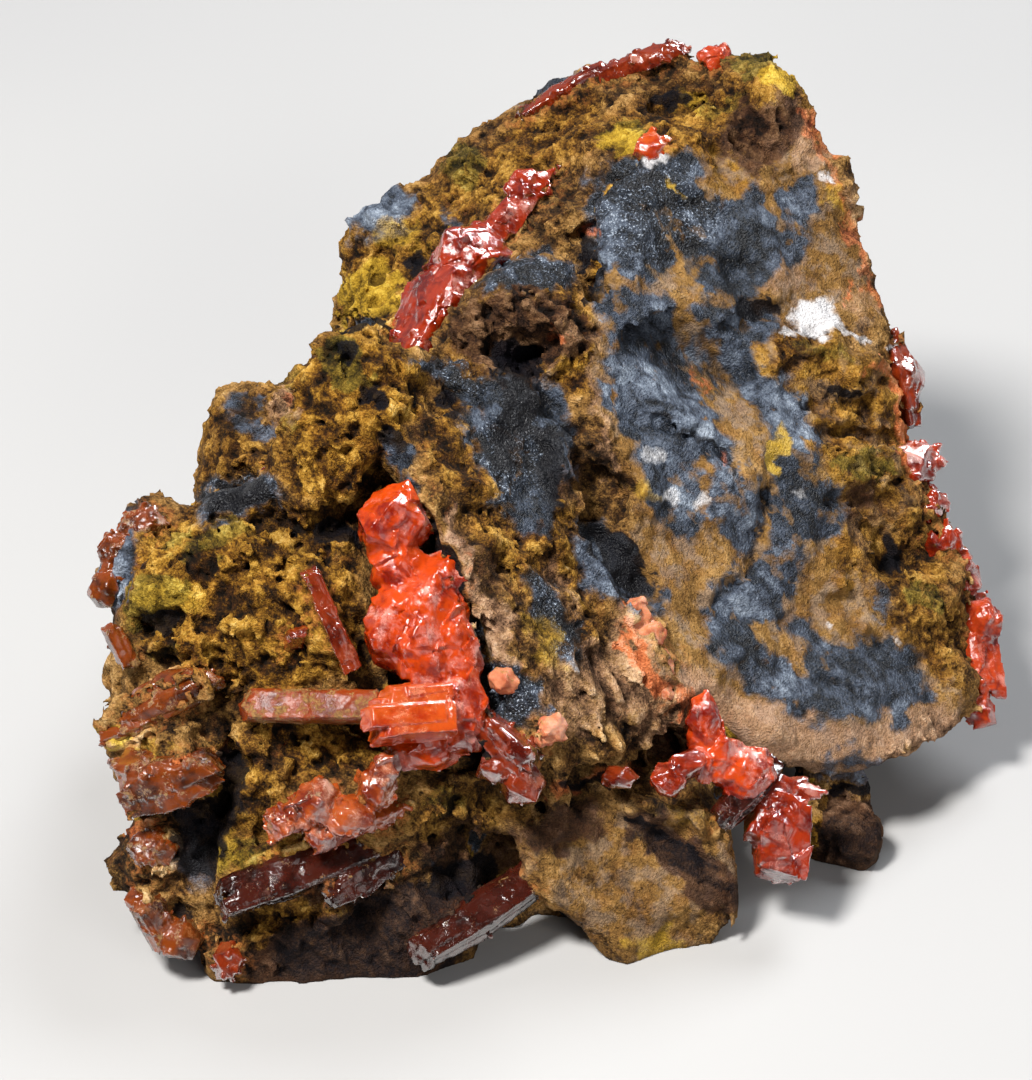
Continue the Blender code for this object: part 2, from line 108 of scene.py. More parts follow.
def waves(n, wavelength, seed):
    """A block of soft noise that repeats, n voxels a side, with a mean of 0 and a spread of 1."""
    draw = np.random.default_rng(seed)
    spectrum = np.fft.rfftn(draw.standard_normal((n, n, n), dtype=np.float32))
    f = np.fft.fftfreq(n) ** 2
    k = np.sqrt(f[:, None, None] + f[None, :, None] + np.fft.rfftfreq(n)[None, None, :] ** 2)
    k[0, 0, 0] = 1e-6
    block = np.fft.irfftn(spectrum * np.exp(-(np.log(k * wavelength) ** 2) / OCTAVE), s=(n, n, n))
    return (block / block.std()).astype(np.float32)


def cells(n, size, seed):
    """A block of rounded cells that repeats: a dome on each cell, how much nearer its middle is than the
    next one's, a number for the cell, and the height of a tilted flat facet on each."""
    m = max(3, round(n / size))
    step = n / m
    draw = np.random.default_rng(seed)
    jitter = draw.random((m, m, m, 3), dtype=np.float32)
    grid = np.arange(n, dtype=np.float32)
    cell = (grid / step).astype(int)
    best = np.full((n, n, n), 1e9, np.float32)
    second = best.copy()
    which = np.zeros((n, n, n), np.int32)
    offsets = np.zeros((3, n, n, n), np.float32)
    for i in (-1, 0, 1):
        for j in (-1, 0, 1):
            for k in (-1, 0, 1):
                index = np.ix_((cell + i) % m, (cell + j) % m, (cell + k) % m)
                shift = jitter[index]
                away = [
                    (cell + i)[:, None, None] * step + shift[..., 0] * step - grid[:, None, None],
                    (cell + j)[None, :, None] * step + shift[..., 1] * step - grid[None, :, None],
                    (cell + k)[None, None, :] * step + shift[..., 2] * step - grid[None, None, :],
                ]
                far = away[0] ** 2 + away[1] ** 2 + away[2] ** 2
                nearer = far < best
                second = np.where(nearer, best, np.minimum(second, far))
                best = np.where(nearer, far, best)
                number = (index[0] * m + index[1]) * m + index[2]
                which = np.where(nearer, number, which)
                for axis in range(3):
                    np.copyto(offsets[axis], away[axis], where=nearer)
    lean = draw.uniform(-1, 1, (m**3, 3)).astype(np.float32)
    lift = draw.uniform(-1, 1, m**3).astype(np.float32)
    facet = lift[which] * 0.5
    for axis in range(3):
        facet += lean[which, axis] * offsets[axis] / step
    best, second = np.sqrt(best) / step, np.sqrt(second) / step
    return {"dome": np.sqrt(np.clip(1 - (best / DOME) ** 2, 0, 1)), "edge": second - best,
            "number": (lift[which] + 1) / 2, "facet": facet}


class Look:
    """Reads blocks of noise at the voxels of a list of points in mm."""

    def __init__(self, points):
        self.index = np.round((points - LOW) / ROCK_STEP).astype(np.int64)

    def __call__(self, block, shift=0):
        n = block.shape[0]
        i = (self.index + shift) % n
        return block[i[:, 0], i[:, 1], i[:, 2]]


def tiled(block, first, shape, shift=0):
    """A block of noise repeated over a box of voxels."""
    n = block.shape[0]
    return block[np.ix_(*[(first[axis] + shift + np.arange(shape[axis])) % n for axis in range(3)])]


def smooth(low, high, values):
    """A soft step from 0 at low to 1 at high."""
    t = np.clip((values - low) / (high - low), 0, 1)
    return t * t * (3 - 2 * t)


# ---------------------------------------------------------------------------------------------- level sets
SIZE = tuple(int(round(v)) for v in (HIGH - LOW) / ROCK_STEP)


def transform(low, step):
    rows = [[step, 0, 0, 0], [0, step, 0, 0], [0, 0, step, 0], [*map(float, low), 1]]
    return vdb.createLinearTransform(rows)


def level_of(points, triangles, width):
    """The distance to a closed mesh on the rock's grid, negative inside, cut off at width."""
    grid = vdb.FloatGrid.createLevelSetFromPolygons(
        points.astype(np.float32), triangles=triangles.astype(np.uint32),
        transform=transform(LOW, ROCK_STEP), halfWidth=width / ROCK_STEP)
    values = np.full(SIZE, width, np.float32)
    grid.copyToArray(values)
    return values


def surface_of(values, low, step, iso=0.0, width=0.6):
    """The surface of a block of distances: points and triangles, whose order faces inwards."""
    grid = vdb.FloatGrid(width)
    grid.transform = transform(low, step)
    grid.copyFromArray(np.clip(values, -width, width))
    points, triangles, quads = grid.convertToPolygons(iso, 0.0)
    return points, np.concatenate([triangles, quads[:, [0, 1, 2]], quads[:, [0, 2, 3]]]).astype(np.int64)


def mesh_arrays(objects):
    """The points of some meshes in mm, and their triangles."""
    points, faces, count = [], [], 0
    for obj in objects:
        mesh = obj.data
        mesh.calc_loop_triangles()
        p = np.empty(len(mesh.vertices) * 3, np.float32)
        mesh.vertices.foreach_get("co", p)
        f = np.empty(len(mesh.loop_triangles) * 3, np.int32)
        mesh.loop_triangles.foreach_get("vertices", f)
        points.append(p.reshape(-1, 3) / MM)
        faces.append(f.reshape(-1, 3) + count)
        count += len(mesh.vertices)
    return np.concatenate(points), np.concatenate(faces)


def new_mesh(name, points, faces, normals=None):
    """A mesh object from arrays of points in mm and triangles."""
    mesh = bpy.data.meshes.new(name)
    mesh.vertices.add(len(points))
    mesh.vertices.foreach_set("co", (points * MM).astype(np.float32).reshape(-1))
    mesh.loops.add(faces.size)
    mesh.loops.foreach_set("vertex_index", faces.reshape(-1).astype(np.int32))
    mesh.polygons.add(len(faces))
    mesh.polygons.foreach_set("loop_start", np.arange(0, faces.size, 3, dtype=np.int32))
    mesh.update(calc_edges=True)
    mesh.validate()
    mesh.shade_smooth()
    if normals is not None:
        mesh.normals_split_custom_set_from_vertices(normals.tolist())
    obj = bpy.data.objects.new(name, mesh)
    bpy.context.scene.collection.objects.link(obj)
    return obj


# ------------------------------------------------------------------------------------------------ crystals
MARGIN = 0.8  # how much room a block has around its crystals, in mm
REACH = 0.6  # how far from a crystal its distance is known
UNEVEN, GRITTY = 0.012, 0.003  # how much a crystal's sides waver, in mm
SWELL, GRIT = 1.3, 0.35  # and over what length
FACETS = (0.75, 1.5)  # how wide the facets that break up a crystal are, the fine and the broad ones
CHIP_AREA = 9.0  # there is a chip for each so many mm2 of crystal
# How softly the crystals of a piece run into each other, in mm, and the kinds that do so more.
MERGE = 0.05
FUSED = {"bright": 0.3, "red": 0.12, "rose": 0.15, "crust": 0.2, "orange": 0.06}
# How deep the facets that break up each kind of crystal are, in mm.
BROKEN = {"bright": 0.12, "orange": 0.05, "amber": 0.03, "garnet": 0.05, "brown": 0.07, "plum": 0.04,
          "red": 0.09, "rose": 0.10, "crust": 0.12, "spangled": 0.12}
CRYSTAL_SHARE = 0.42  # how many of the triangles of a crystal piece are kept
PRISM_SECTION = [(1, 0.6), (0.66, 1), (-1, 0.92), (-1, -0.6), (-0.66, -1), (1, -0.92)]
RODS = 6  # how many thinner rods a bundle has beside its main one
SHARP = math.radians(32)  # edges of the crystals that are steeper than this stay sharp


class Block:
    """A box of distances on a fine grid, in mm, that crystals are added to."""

    def __init__(self, low, high, merge):
        self.step, self.merge = CRYSTAL_STEP, merge
        self.low = np.floor((np.array(low) - MARGIN) / self.step) * self.step
        size = np.ceil((np.array(high) + MARGIN - self.low) / self.step).astype(int)
        self.values = np.full(tuple(size), REACH, np.float32)

    def part(self, low, high):
        """The slices of a smaller box, and its coordinates along each axis."""
        first = np.clip(np.floor((low - self.low) / self.step).astype(int), 0, None)
        last = np.minimum(np.ceil((high - self.low) / self.step).astype(int) + 1, self.values.shape)
        slices = tuple(slice(a, max(a, b)) for a, b in zip(first, last))
        axes = [self.low[i] + np.arange(s.start, s.stop) * self.step for i, s in enumerate(slices)]
        return slices, axes[0][:, None, None], axes[1][None, :, None], axes[2][None, None, :]


def lines(draw, count, longest, shortest):
    """Grooves for one side of a crystal: heights as a function of the distance across it."""
    lengths = np.exp(draw.uniform(math.log(shortest), math.log(longest), count))
    phases = draw.uniform(0, 2 * math.pi, count)

    def height(x):
        total = 0
        for length, phase in zip(lengths, phases):
            total = total + np.abs(np.sin(x * math.pi / length + phase)) * (length / longest)
        return total / count

    return height


def blended(one, two, width):
    """The distance to two shapes that run into each other softly."""
    share = np.clip(0.5 + 0.5 * (two - one) / width, 0, 1)
    return two * (1 - share) + one * share - width * share * (1 - share)


def add_planes(block, normals, offsets, low, high, relief=None, cut=False):
    """Adds a convex solid, given by its planes, to the block, or cuts it out."""
    slices, x, y, z = block.part(low - 0.4, high + 0.4)
    if any(s.stop <= s.start for s in slices):
        return
    inside = np.full(np.broadcast_shapes(x.shape, y.shape, z.shape), -1e9, np.float32)
    for normal, offset in zip(normals, offsets):
        np.maximum(inside, x * normal[0] + y * normal[1] + z * normal[2] - offset, out=inside)
    if relief is not None:
        inside += relief(x, y, z)
    if cut:
        block.values[slices] = np.maximum(block.values[slices], -inside)
    else:
        block.values[slices] = blended(block.values[slices], inside, block.merge)


def frame_along(start, end, turn):
    """The axes of a rod: across it, through it and along it, turned about its length."""
    along = (end - start).normalized()
    level = along.cross(Vector((0, 0, 1))).normalized()
    up = level.cross(along)
    axes = Matrix((level, up, along)).transposed().to_4x4()
    return Matrix.Translation(start) @ axes @ Matrix.Rotation(math.radians(turn), 4, "Z")


def hull_planes(points):
    """The planes of the points' convex hull, and the box that holds it."""
    bm = bmesh.new()
    for point in points:
        bm.verts.new(point)
    made = bmesh.ops.convex_hull(bm, input=bm.verts)
    inside = {v for v in made["geom_interior"] + made["geom_unused"] if isinstance(v, bmesh.types.BMVert)}
    bmesh.ops.delete(bm, geom=list(inside), context="VERTS")
    bmesh.ops.recalc_face_normals(bm, faces=bm.faces)
    bm.normal_update()
    normals = np.array([f.normal for f in bm.faces])
    offsets = np.array([f.normal.dot(f.verts[0].co) for f in bm.faces])
    places = np.array([v.co for v in bm.verts])
    bm.free()
    return normals, offsets, places.min(0), places.max(0)


def add_prism(block, draw, root, tip, width, thickness, turn, groove=0.04, slant=(0.45, 0.15), taper=0.0):
    """A rod with flat sides and grooves along them, that narrows to its ends and is cut on a slant at its
    tip."""
    root, tip = Vector(root), Vector(tip)
    place = frame_along(root, tip, turn)
    length = (tip - root).length
    half_w, half_t = width / 2, thickness / 2
    points = []
    ends = (1 - taper * draw.uniform(0.5, 1), 1 - taper * draw.uniform(0.6, 1.2))
    for across, deep in PRISM_SECTION:
        x, y = across * half_w, deep * half_t
        points.append(place @ Vector((x * ends[0], y * ends[0], 0)))
        points.append(place @ Vector((x * ends[1], y * ends[1],
                                      length - slant[0] * (y + half_t) - slant[1] * (x + half_w))))
        if taper:
            points.append(place @ Vector((x, y, length * draw.uniform(0.4, 0.6))))
    normals, offsets, low, high = hull_planes(points)
    level, up = np.array(place.col[0][:3]), np.array(place.col[1][:3])
    start = np.array(root)
    one, two = lines(draw, 4, 0.7, 0.22), lines(draw, 4, 0.6, 0.2)

    def relief(x, y, z):
        across = (x - start[0]) * level[0] + (y - start[1]) * level[1] + (z - start[2]) * level[2]
        deep = (x - start[0]) * up[0] + (y - start[1]) * up[1] + (z - start[2]) * up[2]
        return groove * 2 * (one(across) + two(deep) - 0.6)

    add_planes(block, normals, offsets, low, high, relief if groove else None)


def add_bundle(block, draw, root, tip, width, thickness, turn, taper=0.0):
    """Several rods side by side, grown together, with ends of different lengths."""
    root, tip = Vector(root), Vector(tip)
    place = frame_along(root, tip, turn)
    along = (tip - root).normalized()
    add_prism(block, draw, root, tip - along * 0.1 * width, width, thickness, turn, taper=taper)
    for _ in range(RODS):
        share = draw.uniform(0.35, 0.7)
        x = draw.uniform(-1, 1) * width * (1.12 - share) / 2
        y = draw.uniform(-1, 1) * thickness * (1.12 - share) / 2
        side = place.to_3x3() @ Vector((x, y, 0))
        back = along * draw.uniform(0, 0.35) * width
        start = along * draw.uniform(0, 0.35) * (tip - root).length
        slant = (draw.uniform(0.1, 0.7), draw.uniform(-0.3, 0.5))
        add_prism(block, draw, root + side + start, tip + side - back, width * share, thickness * share,
                  turn + draw.uniform(-4, 4) * (1 + 3 * taper), slant=slant, taper=taper)


def add_chunk(block, draw, centre, radii, turns, corners=14, ragged=0.12, cut=False):
    """A stubby grain with flat faces."""
    about_z, about_x = (math.radians(turn) for turn in turns)
    turned = Euler((about_x, 0, about_z)).to_matrix()
    points = []
    for number in range(corners):
        height = 1 - 2 * (number + 0.5) / corners
        angle = number * math.pi * (3 - math.sqrt(5)) + draw.uniform(-0.2, 0.2)
        ring = math.sqrt(1 - height * height)
        point = Vector((ring * math.cos(angle), ring * math.sin(angle), height))
        point *= draw.uniform(1 - ragged, 1 + ragged * 0.7)
        points.append(Vector(centre) + turned @ Vector(a * b for a, b in zip(point, radii)))
    add_planes(block, *hull_planes(points), cut=cut)


def skin_spots(block, draw, count):
    """Random places on the skin of what the block holds, and the way out there."""
    free = np.argwhere(np.abs(block.values) < block.step * 0.6)
    spots = free[draw.choice(len(free), min(count, len(free)), replace=False)]
    inner = np.clip(spots, 1, np.array(block.values.shape) - 2)
    slope = np.stack([block.values[tuple((inner + step).T)] - block.values[tuple((inner - step).T)]
                      for step in np.eye(3, dtype=int)], 1)
    slope /= np.linalg.norm(slope, axis=1, keepdims=True) + 1e-9
    return zip(block.low + inner * block.step, slope)


def add_druse(block, draw, count, size):
    """Small grains and prisms scattered over what the block holds already."""
    for place, out in skin_spots(block, draw, count):
        radius = size * draw.uniform(0.5, 1.25)
        lean = out + draw.normal(0, 0.45, 3)
        lean /= np.linalg.norm(lean)
        if draw.random() < 0.3:
            tip = Vector(place + lean * radius * draw.uniform(0.45, 0.95))
            root = Vector(place - lean * radius * 0.8)
            width = radius * draw.uniform(0.7, 1.1)
            thickness, turn = width * draw.uniform(0.6, 1), draw.uniform(0, 180)
            slant = (draw.uniform(0, 0.8), draw.uniform(-0.4, 0.6))
            add_prism(block, draw, root, tip, width, thickness, turn, groove=0.0, slant=slant)
        else:
            radii = (radius * 0.8, radius * 0.65, radius * 0.8)
            add_chunk(block, draw, Vector(place - lean * radius * 0.25), radii,
                      (draw.uniform(0, 180), draw.uniform(0, 180)), 10, 0.2)


def weather(block, draw, swell, grit, facets, broad, broken):
    """Makes the sides of the crystals uneven, steps them, and breaks chips off them."""
    first = np.round(block.low / block.step).astype(int)
    shape = np.array(block.values.shape)
    block.values += UNEVEN * tiled(swell, first, shape) + GRITTY * tiled(grit, first, shape)
    block.values += broken * (0.45 * tiled(facets, first, shape) + 1.5 * tiled(broad, first, shape))
    count = int(np.count_nonzero(np.abs(block.values) < block.step / 2) * block.step**2 / CHIP_AREA)
    for place, out in list(skin_spots(block, draw, count)):
        radius = draw.uniform(0.4, 1.1)
        radii = (radius, radius * draw.uniform(0.5, 1), radius * draw.uniform(0.5, 1))
        add_chunk(block, draw, Vector(place + out * radius * draw.uniform(0.5, 0.8)), radii,
                  (draw.uniform(0, 180), draw.uniform(0, 180)), 9, 0.2, cut=True)


# Each crystal piece: the CAD node that it stands for, its finish, its forms, and the small grains scattered
# over it: how many, and their radius. The forms, in mm: a "chunk" has a middle, three radii and two turns;
# a "prism" or "bundle" has a root, a tip, a width, a thickness and a turn.
CRYSTALS = {
    "vein": ("front_vein", "bright", [
        ("chunk", (-6.0, -7.2, 19.9), (1.95, 1.5, 2.15), (0, -25)),
        ("chunk", (-5.6, -8.4, 18.2), (1.5, 1.4, 1.5), (20, -25)),
        ("chunk", (-4.4, -9.9, 17.2), (2.3, 1.6, 1.8), (0, -35)),
        ("prism", (-4.6, -11.5, 15.6), (-4.3, -8.6, 18.4), 2.4, 2.2, 40),
        ("chunk", (-3.4, -8.8, 17.8), (1.6, 1.4, 1.6), (30, -35)),
        ("chunk", (-4.6, -11.4, 15.8), (1.7, 1.5, 1.8), (0, -35)),
        ("chunk", (-6.2, -10.9, 16.2), (1.4, 1.4, 2.1), (0, -20)),
        ("chunk", (-3.0, -11.4, 15.3), (1.5, 1.5, 2.4), (0, -30)),
        ("chunk", (-2.7, -13.0, 13.2), (1.7, 1.5, 2.3), (10, -30)),
        ("chunk", (-4.4, -13.8, 11.3), (2.0, 1.3, 1.2), (0, -30)),
        ("prism", (-3.6, -13.6, 12.6), (-4.4, -11.6, 16.4), 1.9, 1.4, 10),
    ], (14, 0.5)),
    "vein_prism": ("front_vein", "orange", [
        ("bundle", (-3.0, -13.5, 13.5), (-7.5, -14.2, 13.6), 2.7, 2.2, 35),
    ], (0, 0)),
    "long_prism": ("front_vein", "amber", [
        ("bundle", (-6.6, -13.0, 13.3), (-13.5, -12.5, 13.0), 1.5, 1.3, 35),
    ], (12, 0.25)),
    "ridge_foot": ("front_vein", "garnet", [
        ("bundle", (-1.6, -12.8, 12.4), (1.2, -15.0, 10.8), 2.3, 1.8, 30, 0.4),
        ("chunk", (0.3, -14.8, 10.1), (1.3, 1.1, 1.2), (0, -20)),
        ("chunk", (-0.9, -14.5, 10.9), (1.3, 1.0, 1.0), (30, -20)),
    ], (40, 0.35)),
    "slender_prism": ("slender_prism", "garnet", [
        ("bundle", (-7.8, -12.2, 14.9), (-10.0, -9.4, 19.1), 1.0, 0.8, 20),
    ], (0, 0)),
    "chip": ("chip", "garnet", [
        ("bundle", (-10.8, -10.3, 14.8), (-10.4, -11.3, 16.7), 0.9, 0.7, 10),
    ], (4, 0.2)),
    "left_diagonal": ("left_diagonal", "brown", [
        ("chunk", (-17.0, -11.1, 12.4), (1.4, 1.2, 3.7), (-95, -60), 18),
        ("bundle", (-19.6, -10.9, 11.0), (-14.3, -11.4, 13.9), 1.5, 1.3, 30, 0.45),
        ("bundle", (-19.9, -11.6, 10.5), (-16.6, -11.8, 12.2), 1.4, 1.2, 60, 0.3),
    ], (18, 0.3)),
    "left_upright": ("left_upright", "brown", [
        ("bundle", (-18.7, -9.5, 13.1), (-19.8, -8.2, 14.9), 0.9, 0.8, 10),
    ], (3, 0.2)),
    "left_lower_block": ("left_lower_block", "brown", [
        ("bundle", (-18.9, -13.9, 8.7), (-14.1, -14.1, 10.8), 2.9, 2.6, 20, 0.2),
        ("chunk", (-18.1, -13.4, 9.7), (1.7, 1.4, 1.2), (0, -20)),
    ], (70, 0.35)),
    "left_edge_upper": ("left_edge_upper", "brown", [
        ("chunk", (-17.6, -15.0, 6.3), (1.4, 1.2, 0.9), (10, 0)),
        ("bundle", (-16.9, -14.6, 6.6), (-18.6, -15.3, 5.9), 1.3, 1.2, 20),
    ], (50, 0.35)),
    "left_edge_lower": ("left_edge_lower", "brown", [
        ("bundle", (-16.8, -16.9, 1.9), (-18.4, -15.9, 4.5), 1.5, 1.3, 25),
        ("chunk", (-16.4, -16.9, 2.2), (1.2, 1.2, 1.2), (0, 0)),
    ], (60, 0.35)),
    "left_foot_grain": ("left_foot_grain", "garnet", [
        ("chunk", (-14.0, -17.9, 1.6), (0.9, 0.8, 1.1), (0, -20)),
    ], (16, 0.35)),
    "shelf_druse": ("shelf_druse", "spangled", [
        ("bundle", (-8.6, -14.2, 8.6), (-12.0, -16.4, 8.8), 1.5, 1.3, 40),
        ("chunk", (-9.6, -15.6, 9.6), (1.4, 1.2, 1.2), (20, 0)),
        ("chunk", (-8.2, -15.8, 9.0), (1.6, 1.3, 1.2), (0, 10)),
        ("chunk", (-6.8, -15.2, 10.2), (1.2, 1.1, 1.2), (40, 0)),
        ("chunk", (-6.3, -15.0, 11.0), (0.9, 0.8, 1.0), (10, 20)),
        ("bundle", (-5.6, -14.2, 8.2), (-10.0, -16.6, 7.9), 1.2, 1.0, 10),
    ], (170, 0.3)),
    "lower_prism": ("lower_prism", "plum", [
        ("bundle", (-7.0, -14.6, 6.2), (-14.6, -17.9, 5.2), 2.1, 1.8, 30, 0.3),
        ("bundle", (-5.6, -14.6, 5.6), (-9.4, -17.4, 4.9), 1.6, 1.3, 60, 0.4),
    ], (14, 0.3)),
    "lower_right_prism": ("lower_right_prism", "plum", [
        ("bundle", (1.6, -13.6, 3.9), (-5.0, -18.2, 1.9), 2.1, 1.7, 20, 0.25),
    ], (16, 0.3)),
    "ridge_bead": ("ridge_bead", "crust", [
        ("chunk", (-0.5, -12.3, 14.4), (0.8, 0.7, 0.7), (0, 0)),
    ], (26, 0.25)),
    "ridge_grain": ("ridge_grain", "crust", [
        ("chunk", (1.7, -13.5, 12.5), (0.8, 0.7, 0.7), (20, 0)),
    ], (26, 0.25)),
    "cleft_crust": ("cleft_crust", "crust", [
        ("chunk", (5.8, -6.5, 13.9), (1.1, 0.8, 1.1), (0, -30)),
        ("chunk", (6.6, -7.2, 13.2), (1.0, 0.7, 0.9), (30, -30)),
        ("bundle", (6.4, -7.0, 13.4), (7.6, -9.2, 10.8), 1.1, 0.8, 15),
    ], (60, 0.25)),
    "gap_bead": ("gap_bead", "red", [
        ("chunk", (7.4, -12.7, 8.6), (0.95, 0.9, 0.85), (0, -10)),
        ("chunk", (8.3, -11.9, 8.9), (1.3, 0.8, 0.7), (40, 10)),
    ], (6, 0.26)),
    "gap_sliver": ("gap_sliver", "garnet", [
        ("chunk", (5.0, -12.8, 8.9), (1.1, 0.7, 0.6), (0, 0)),
    ], (8, 0.25)),
    "foot_upper": ("right_foot", "bright", [
        ("chunk", (9.3, -10.2, 9.9), (0.95, 0.9, 2.1), (25, -20)),
        ("chunk", (9.8, -10.9, 8.5), (1.6, 1.3, 1.3), (50, -30)),
        ("chunk", (10.8, -11.1, 8.0), (1.5, 1.2, 1.1), (0, -10)),
        ("chunk", (11.9, -10.7, 7.9), (1.2, 1.0, 0.9), (70, 10)),
        ("chunk", (11.2, -11.3, 7.2), (1.3, 1.0, 0.9), (30, -10)),
    ], (24, 0.36)),
    "foot_purple": ("right_foot", "plum", [
        ("bundle", (12.8, -9.6, 7.4), (9.8, -13.0, 6.3), 1.5, 1.2, 20, 0.3),
    ], (4, 0.2)),
    "foot_red": ("right_foot", "red", [
        ("bundle", (13.2, -9.8, 6.4), (11.7, -12.9, 4.8), 1.8, 1.6, 40, 0.3),
        ("prism", (13.4, -10.6, 6.0), (12.9, -13.7, 3.1), 2.5, 2.2, 15, 0.012, (0.1, 0.1), 0.2),
        ("chunk", (12.7, -12.2, 5.2), (1.2, 1.2, 1.3), (0, -30)),
        ("bundle", (12.9, -10.0, 6.2), (15.4, -10.4, 6.0), 1.0, 0.9, 0, 0.4),
    ], (8, 0.3)),
    "rim_upper": ("rim_upper", "red", [
        ("chunk", (20.2, 7.3, 13.4), (1.5, 1.5, 1.3), (0, 30)),
        ("chunk", (20.9, 5.8, 11.9), (1.3, 1.4, 1.3), (30, 0)),
        ("chunk", (21.7, 4.8, 10.6), (1.2, 1.2, 1.2), (10, 30)),
        ("bundle", (19.6, 6.8, 12.8), (21.7, 8.4, 13.8), 1.5, 1.3, 20),
    ], (90, 0.45)),
    "rim_lower": ("rim_lower", "rose", [
        ("chunk", (22.5, 4.6, 9.4), (1.0, 1.2, 1.1), (40, 20)),
        ("chunk", (22.9, 4.4, 8.3), (1.1, 1.3, 1.2), (0, 20)),
        ("chunk", (23.7, 2.9, 6.9), (1.1, 1.4, 1.4), (20, 0)),
        ("bundle", (23.2, 4.2, 7.6), (23.9, -0.3, 4.0), 1.8, 1.6, 30, 0.3),
        ("chunk", (23.7, -0.6, 3.8), (0.9, 1.0, 0.9), (40, 0)),
    ], (90, 0.45)),
    "rim_blade": ("rim_blade", "garnet", [
        ("bundle", (20.1, 9.4, 14.4), (18.9, 13.1, 18.3), 2.1, 1.5, 60, 0.4),
        ("chunk", (19.9, 11.2, 16.2), (1.3, 1.4, 1.5), (0, 30)),
    ], (20, 0.4)),
    "upper_left_blade": ("upper_left_blade", "red", [
        ("bundle", (-5.9, 7.6, 19.2), (-1.0, 14.4, 23.4), 3.9, 3.0, 25, 0.6),
        ("chunk", (-3.4, 11.0, 21.6), (1.6, 3.2, 1.7), (-36, 30), 16),
        ("bundle", (-2.6, 12.4, 22.0), (1.6, 17.6, 25.2), 1.9, 1.5, 50, 0.3),
        ("chunk", (-2.2, 12.8, 22.8), (2.3, 2.0, 1.7), (20, 10)),
        ("chunk", (0.4, 16.2, 24.7), (1.2, 1.2, 1.0), (0, 20)),
    ], (70, 0.45)),
    "top_strip": ("top_strip", "garnet", [
        ("bundle", (0.2, 22.6, 25.2), (4.8, 23.9, 27.6), 1.1, 0.9, 10, 0.5),
        ("bundle", (4.4, 23.6, 27.0), (9.0, 23.8, 28.9), 1.5, 1.2, 30, 0.5),
    ], (40, 0.4)),
    "top_grain": ("top_grain", "rose", [("chunk", (10.4, 22.6, 28.6), (1.0, 0.9, 0.9), (0, 0))], (16, 0.4)),
    "slab_top_grain": ("slab_top_grain", "orange", [
        ("chunk", (6.8, 14.3, 28.2), (1.0, 0.9, 0.9), (30, 0)),
    ], (20, 0.4)),
    "knob_foot_grain": ("knob_foot_grain", "garnet", [
        ("chunk", (-11.9, -3.2, 19.8), (0.7, 0.6, 0.8), (0, 0)),
    ], (12, 0.35)),
    "left_top_grains": ("left_top_grains", "brown", [
        ("chunk", (-18.3, -2.2, 16.4), (1.4, 1.1, 0.9), (20, 0)),
        ("chunk", (-19.7, -3.4, 15.7), (1.1, 1.0, 1.0), (0, 20)),
        ("chunk", (-20.2, -5.2, 14.7), (0.9, 1.0, 1.0), (10, 0)),
        ("bundle", (-18.3, -2.2, 16.1), (-20.1, -5.2, 14.6), 1.5, 1.2, 20),
    ], (70, 0.4)),
    "back_blade": ("back_blade", "red", [
        ("bundle", (0.4, 23.6, 18.8), (4.4, 27.4, 16.4), 2.0, 1.7, 20),
        ("bundle", (1.6, 23.8, 17.6), (0.4, 28.0, 19.6), 1.3, 1.1, 40),
    ], (30, 0.4)),
}


def reach(forms):
    """The box that holds the forms of a piece."""
    lows, highs = [], []
    for kind, *values in forms:
        if kind == "chunk":
            centre, radii = np.array(values[0]), max(values[1]) * 1.1
            lows.append(centre - radii)
            highs.append(centre + radii)
        else:
            root, tip = np.array(values[0]), np.array(values[1])
            side = max(values[2], values[3]) * 0.8
            lows.append(np.minimum(root, tip) - side)
            highs.append(np.maximum(root, tip) + side)
    return np.min(lows, 0), np.max(highs, 0)


def crystal_blocks():
    """The crystal pieces as blocks of distances."""
    blocks = {}
    swell, grit = waves(96, SWELL / CRYSTAL_STEP, 61), waves(80, GRIT / CRYSTAL_STEP, 62)
    facets, broad = (cells(90, size / CRYSTAL_STEP, 63)["facet"] for size in FACETS)
    for number, (name, (_, finish, forms, (count, size))) in enumerate(CRYSTALS.items()):
        draw = np.random.default_rng(CRYSTAL_SEED + number)
        block = Block(*reach(forms), FUSED.get(finish, MERGE))
        for kind, *values in forms:
            if kind == "chunk":
                add_chunk(block, draw, *values)
            elif kind == "prism":
                add_prism(block, draw, *values)
            else:
                add_bundle(block, draw, *values)
        weather(block, draw, swell, grit, facets, broad, BROKEN[finish])
        if count:
            add_druse(block, draw, count, size)
        blocks[name] = block
    return blocks


def union_on_rock_grid(blocks):
    """The distance to all the crystals on the rock's grid."""
    whole = np.full(SIZE, REACH, np.float32)
    for block in blocks.values():
        first = np.ceil((block.low - LOW) / ROCK_STEP).astype(int)
        top = np.array(block.values.shape) - 1
        last = np.floor((block.low + top * block.step - LOW) / ROCK_STEP).astype(int)
        first, last = np.clip(first, 0, None), np.minimum(last, np.array(SIZE) - 1)
        part = tuple(slice(first[axis], last[axis] + 1) for axis in range(3))
        index = []
        for axis in range(3):
            places = LOW[axis] + np.arange(first[axis], last[axis] + 1) * ROCK_STEP
            nearest = np.round((places - block.low[axis]) / block.step).astype(int)
            index.append(np.clip(nearest, 0, top[axis]))
        whole[part] = np.minimum(whole[part], block.values[np.ix_(*index)])
    return whole


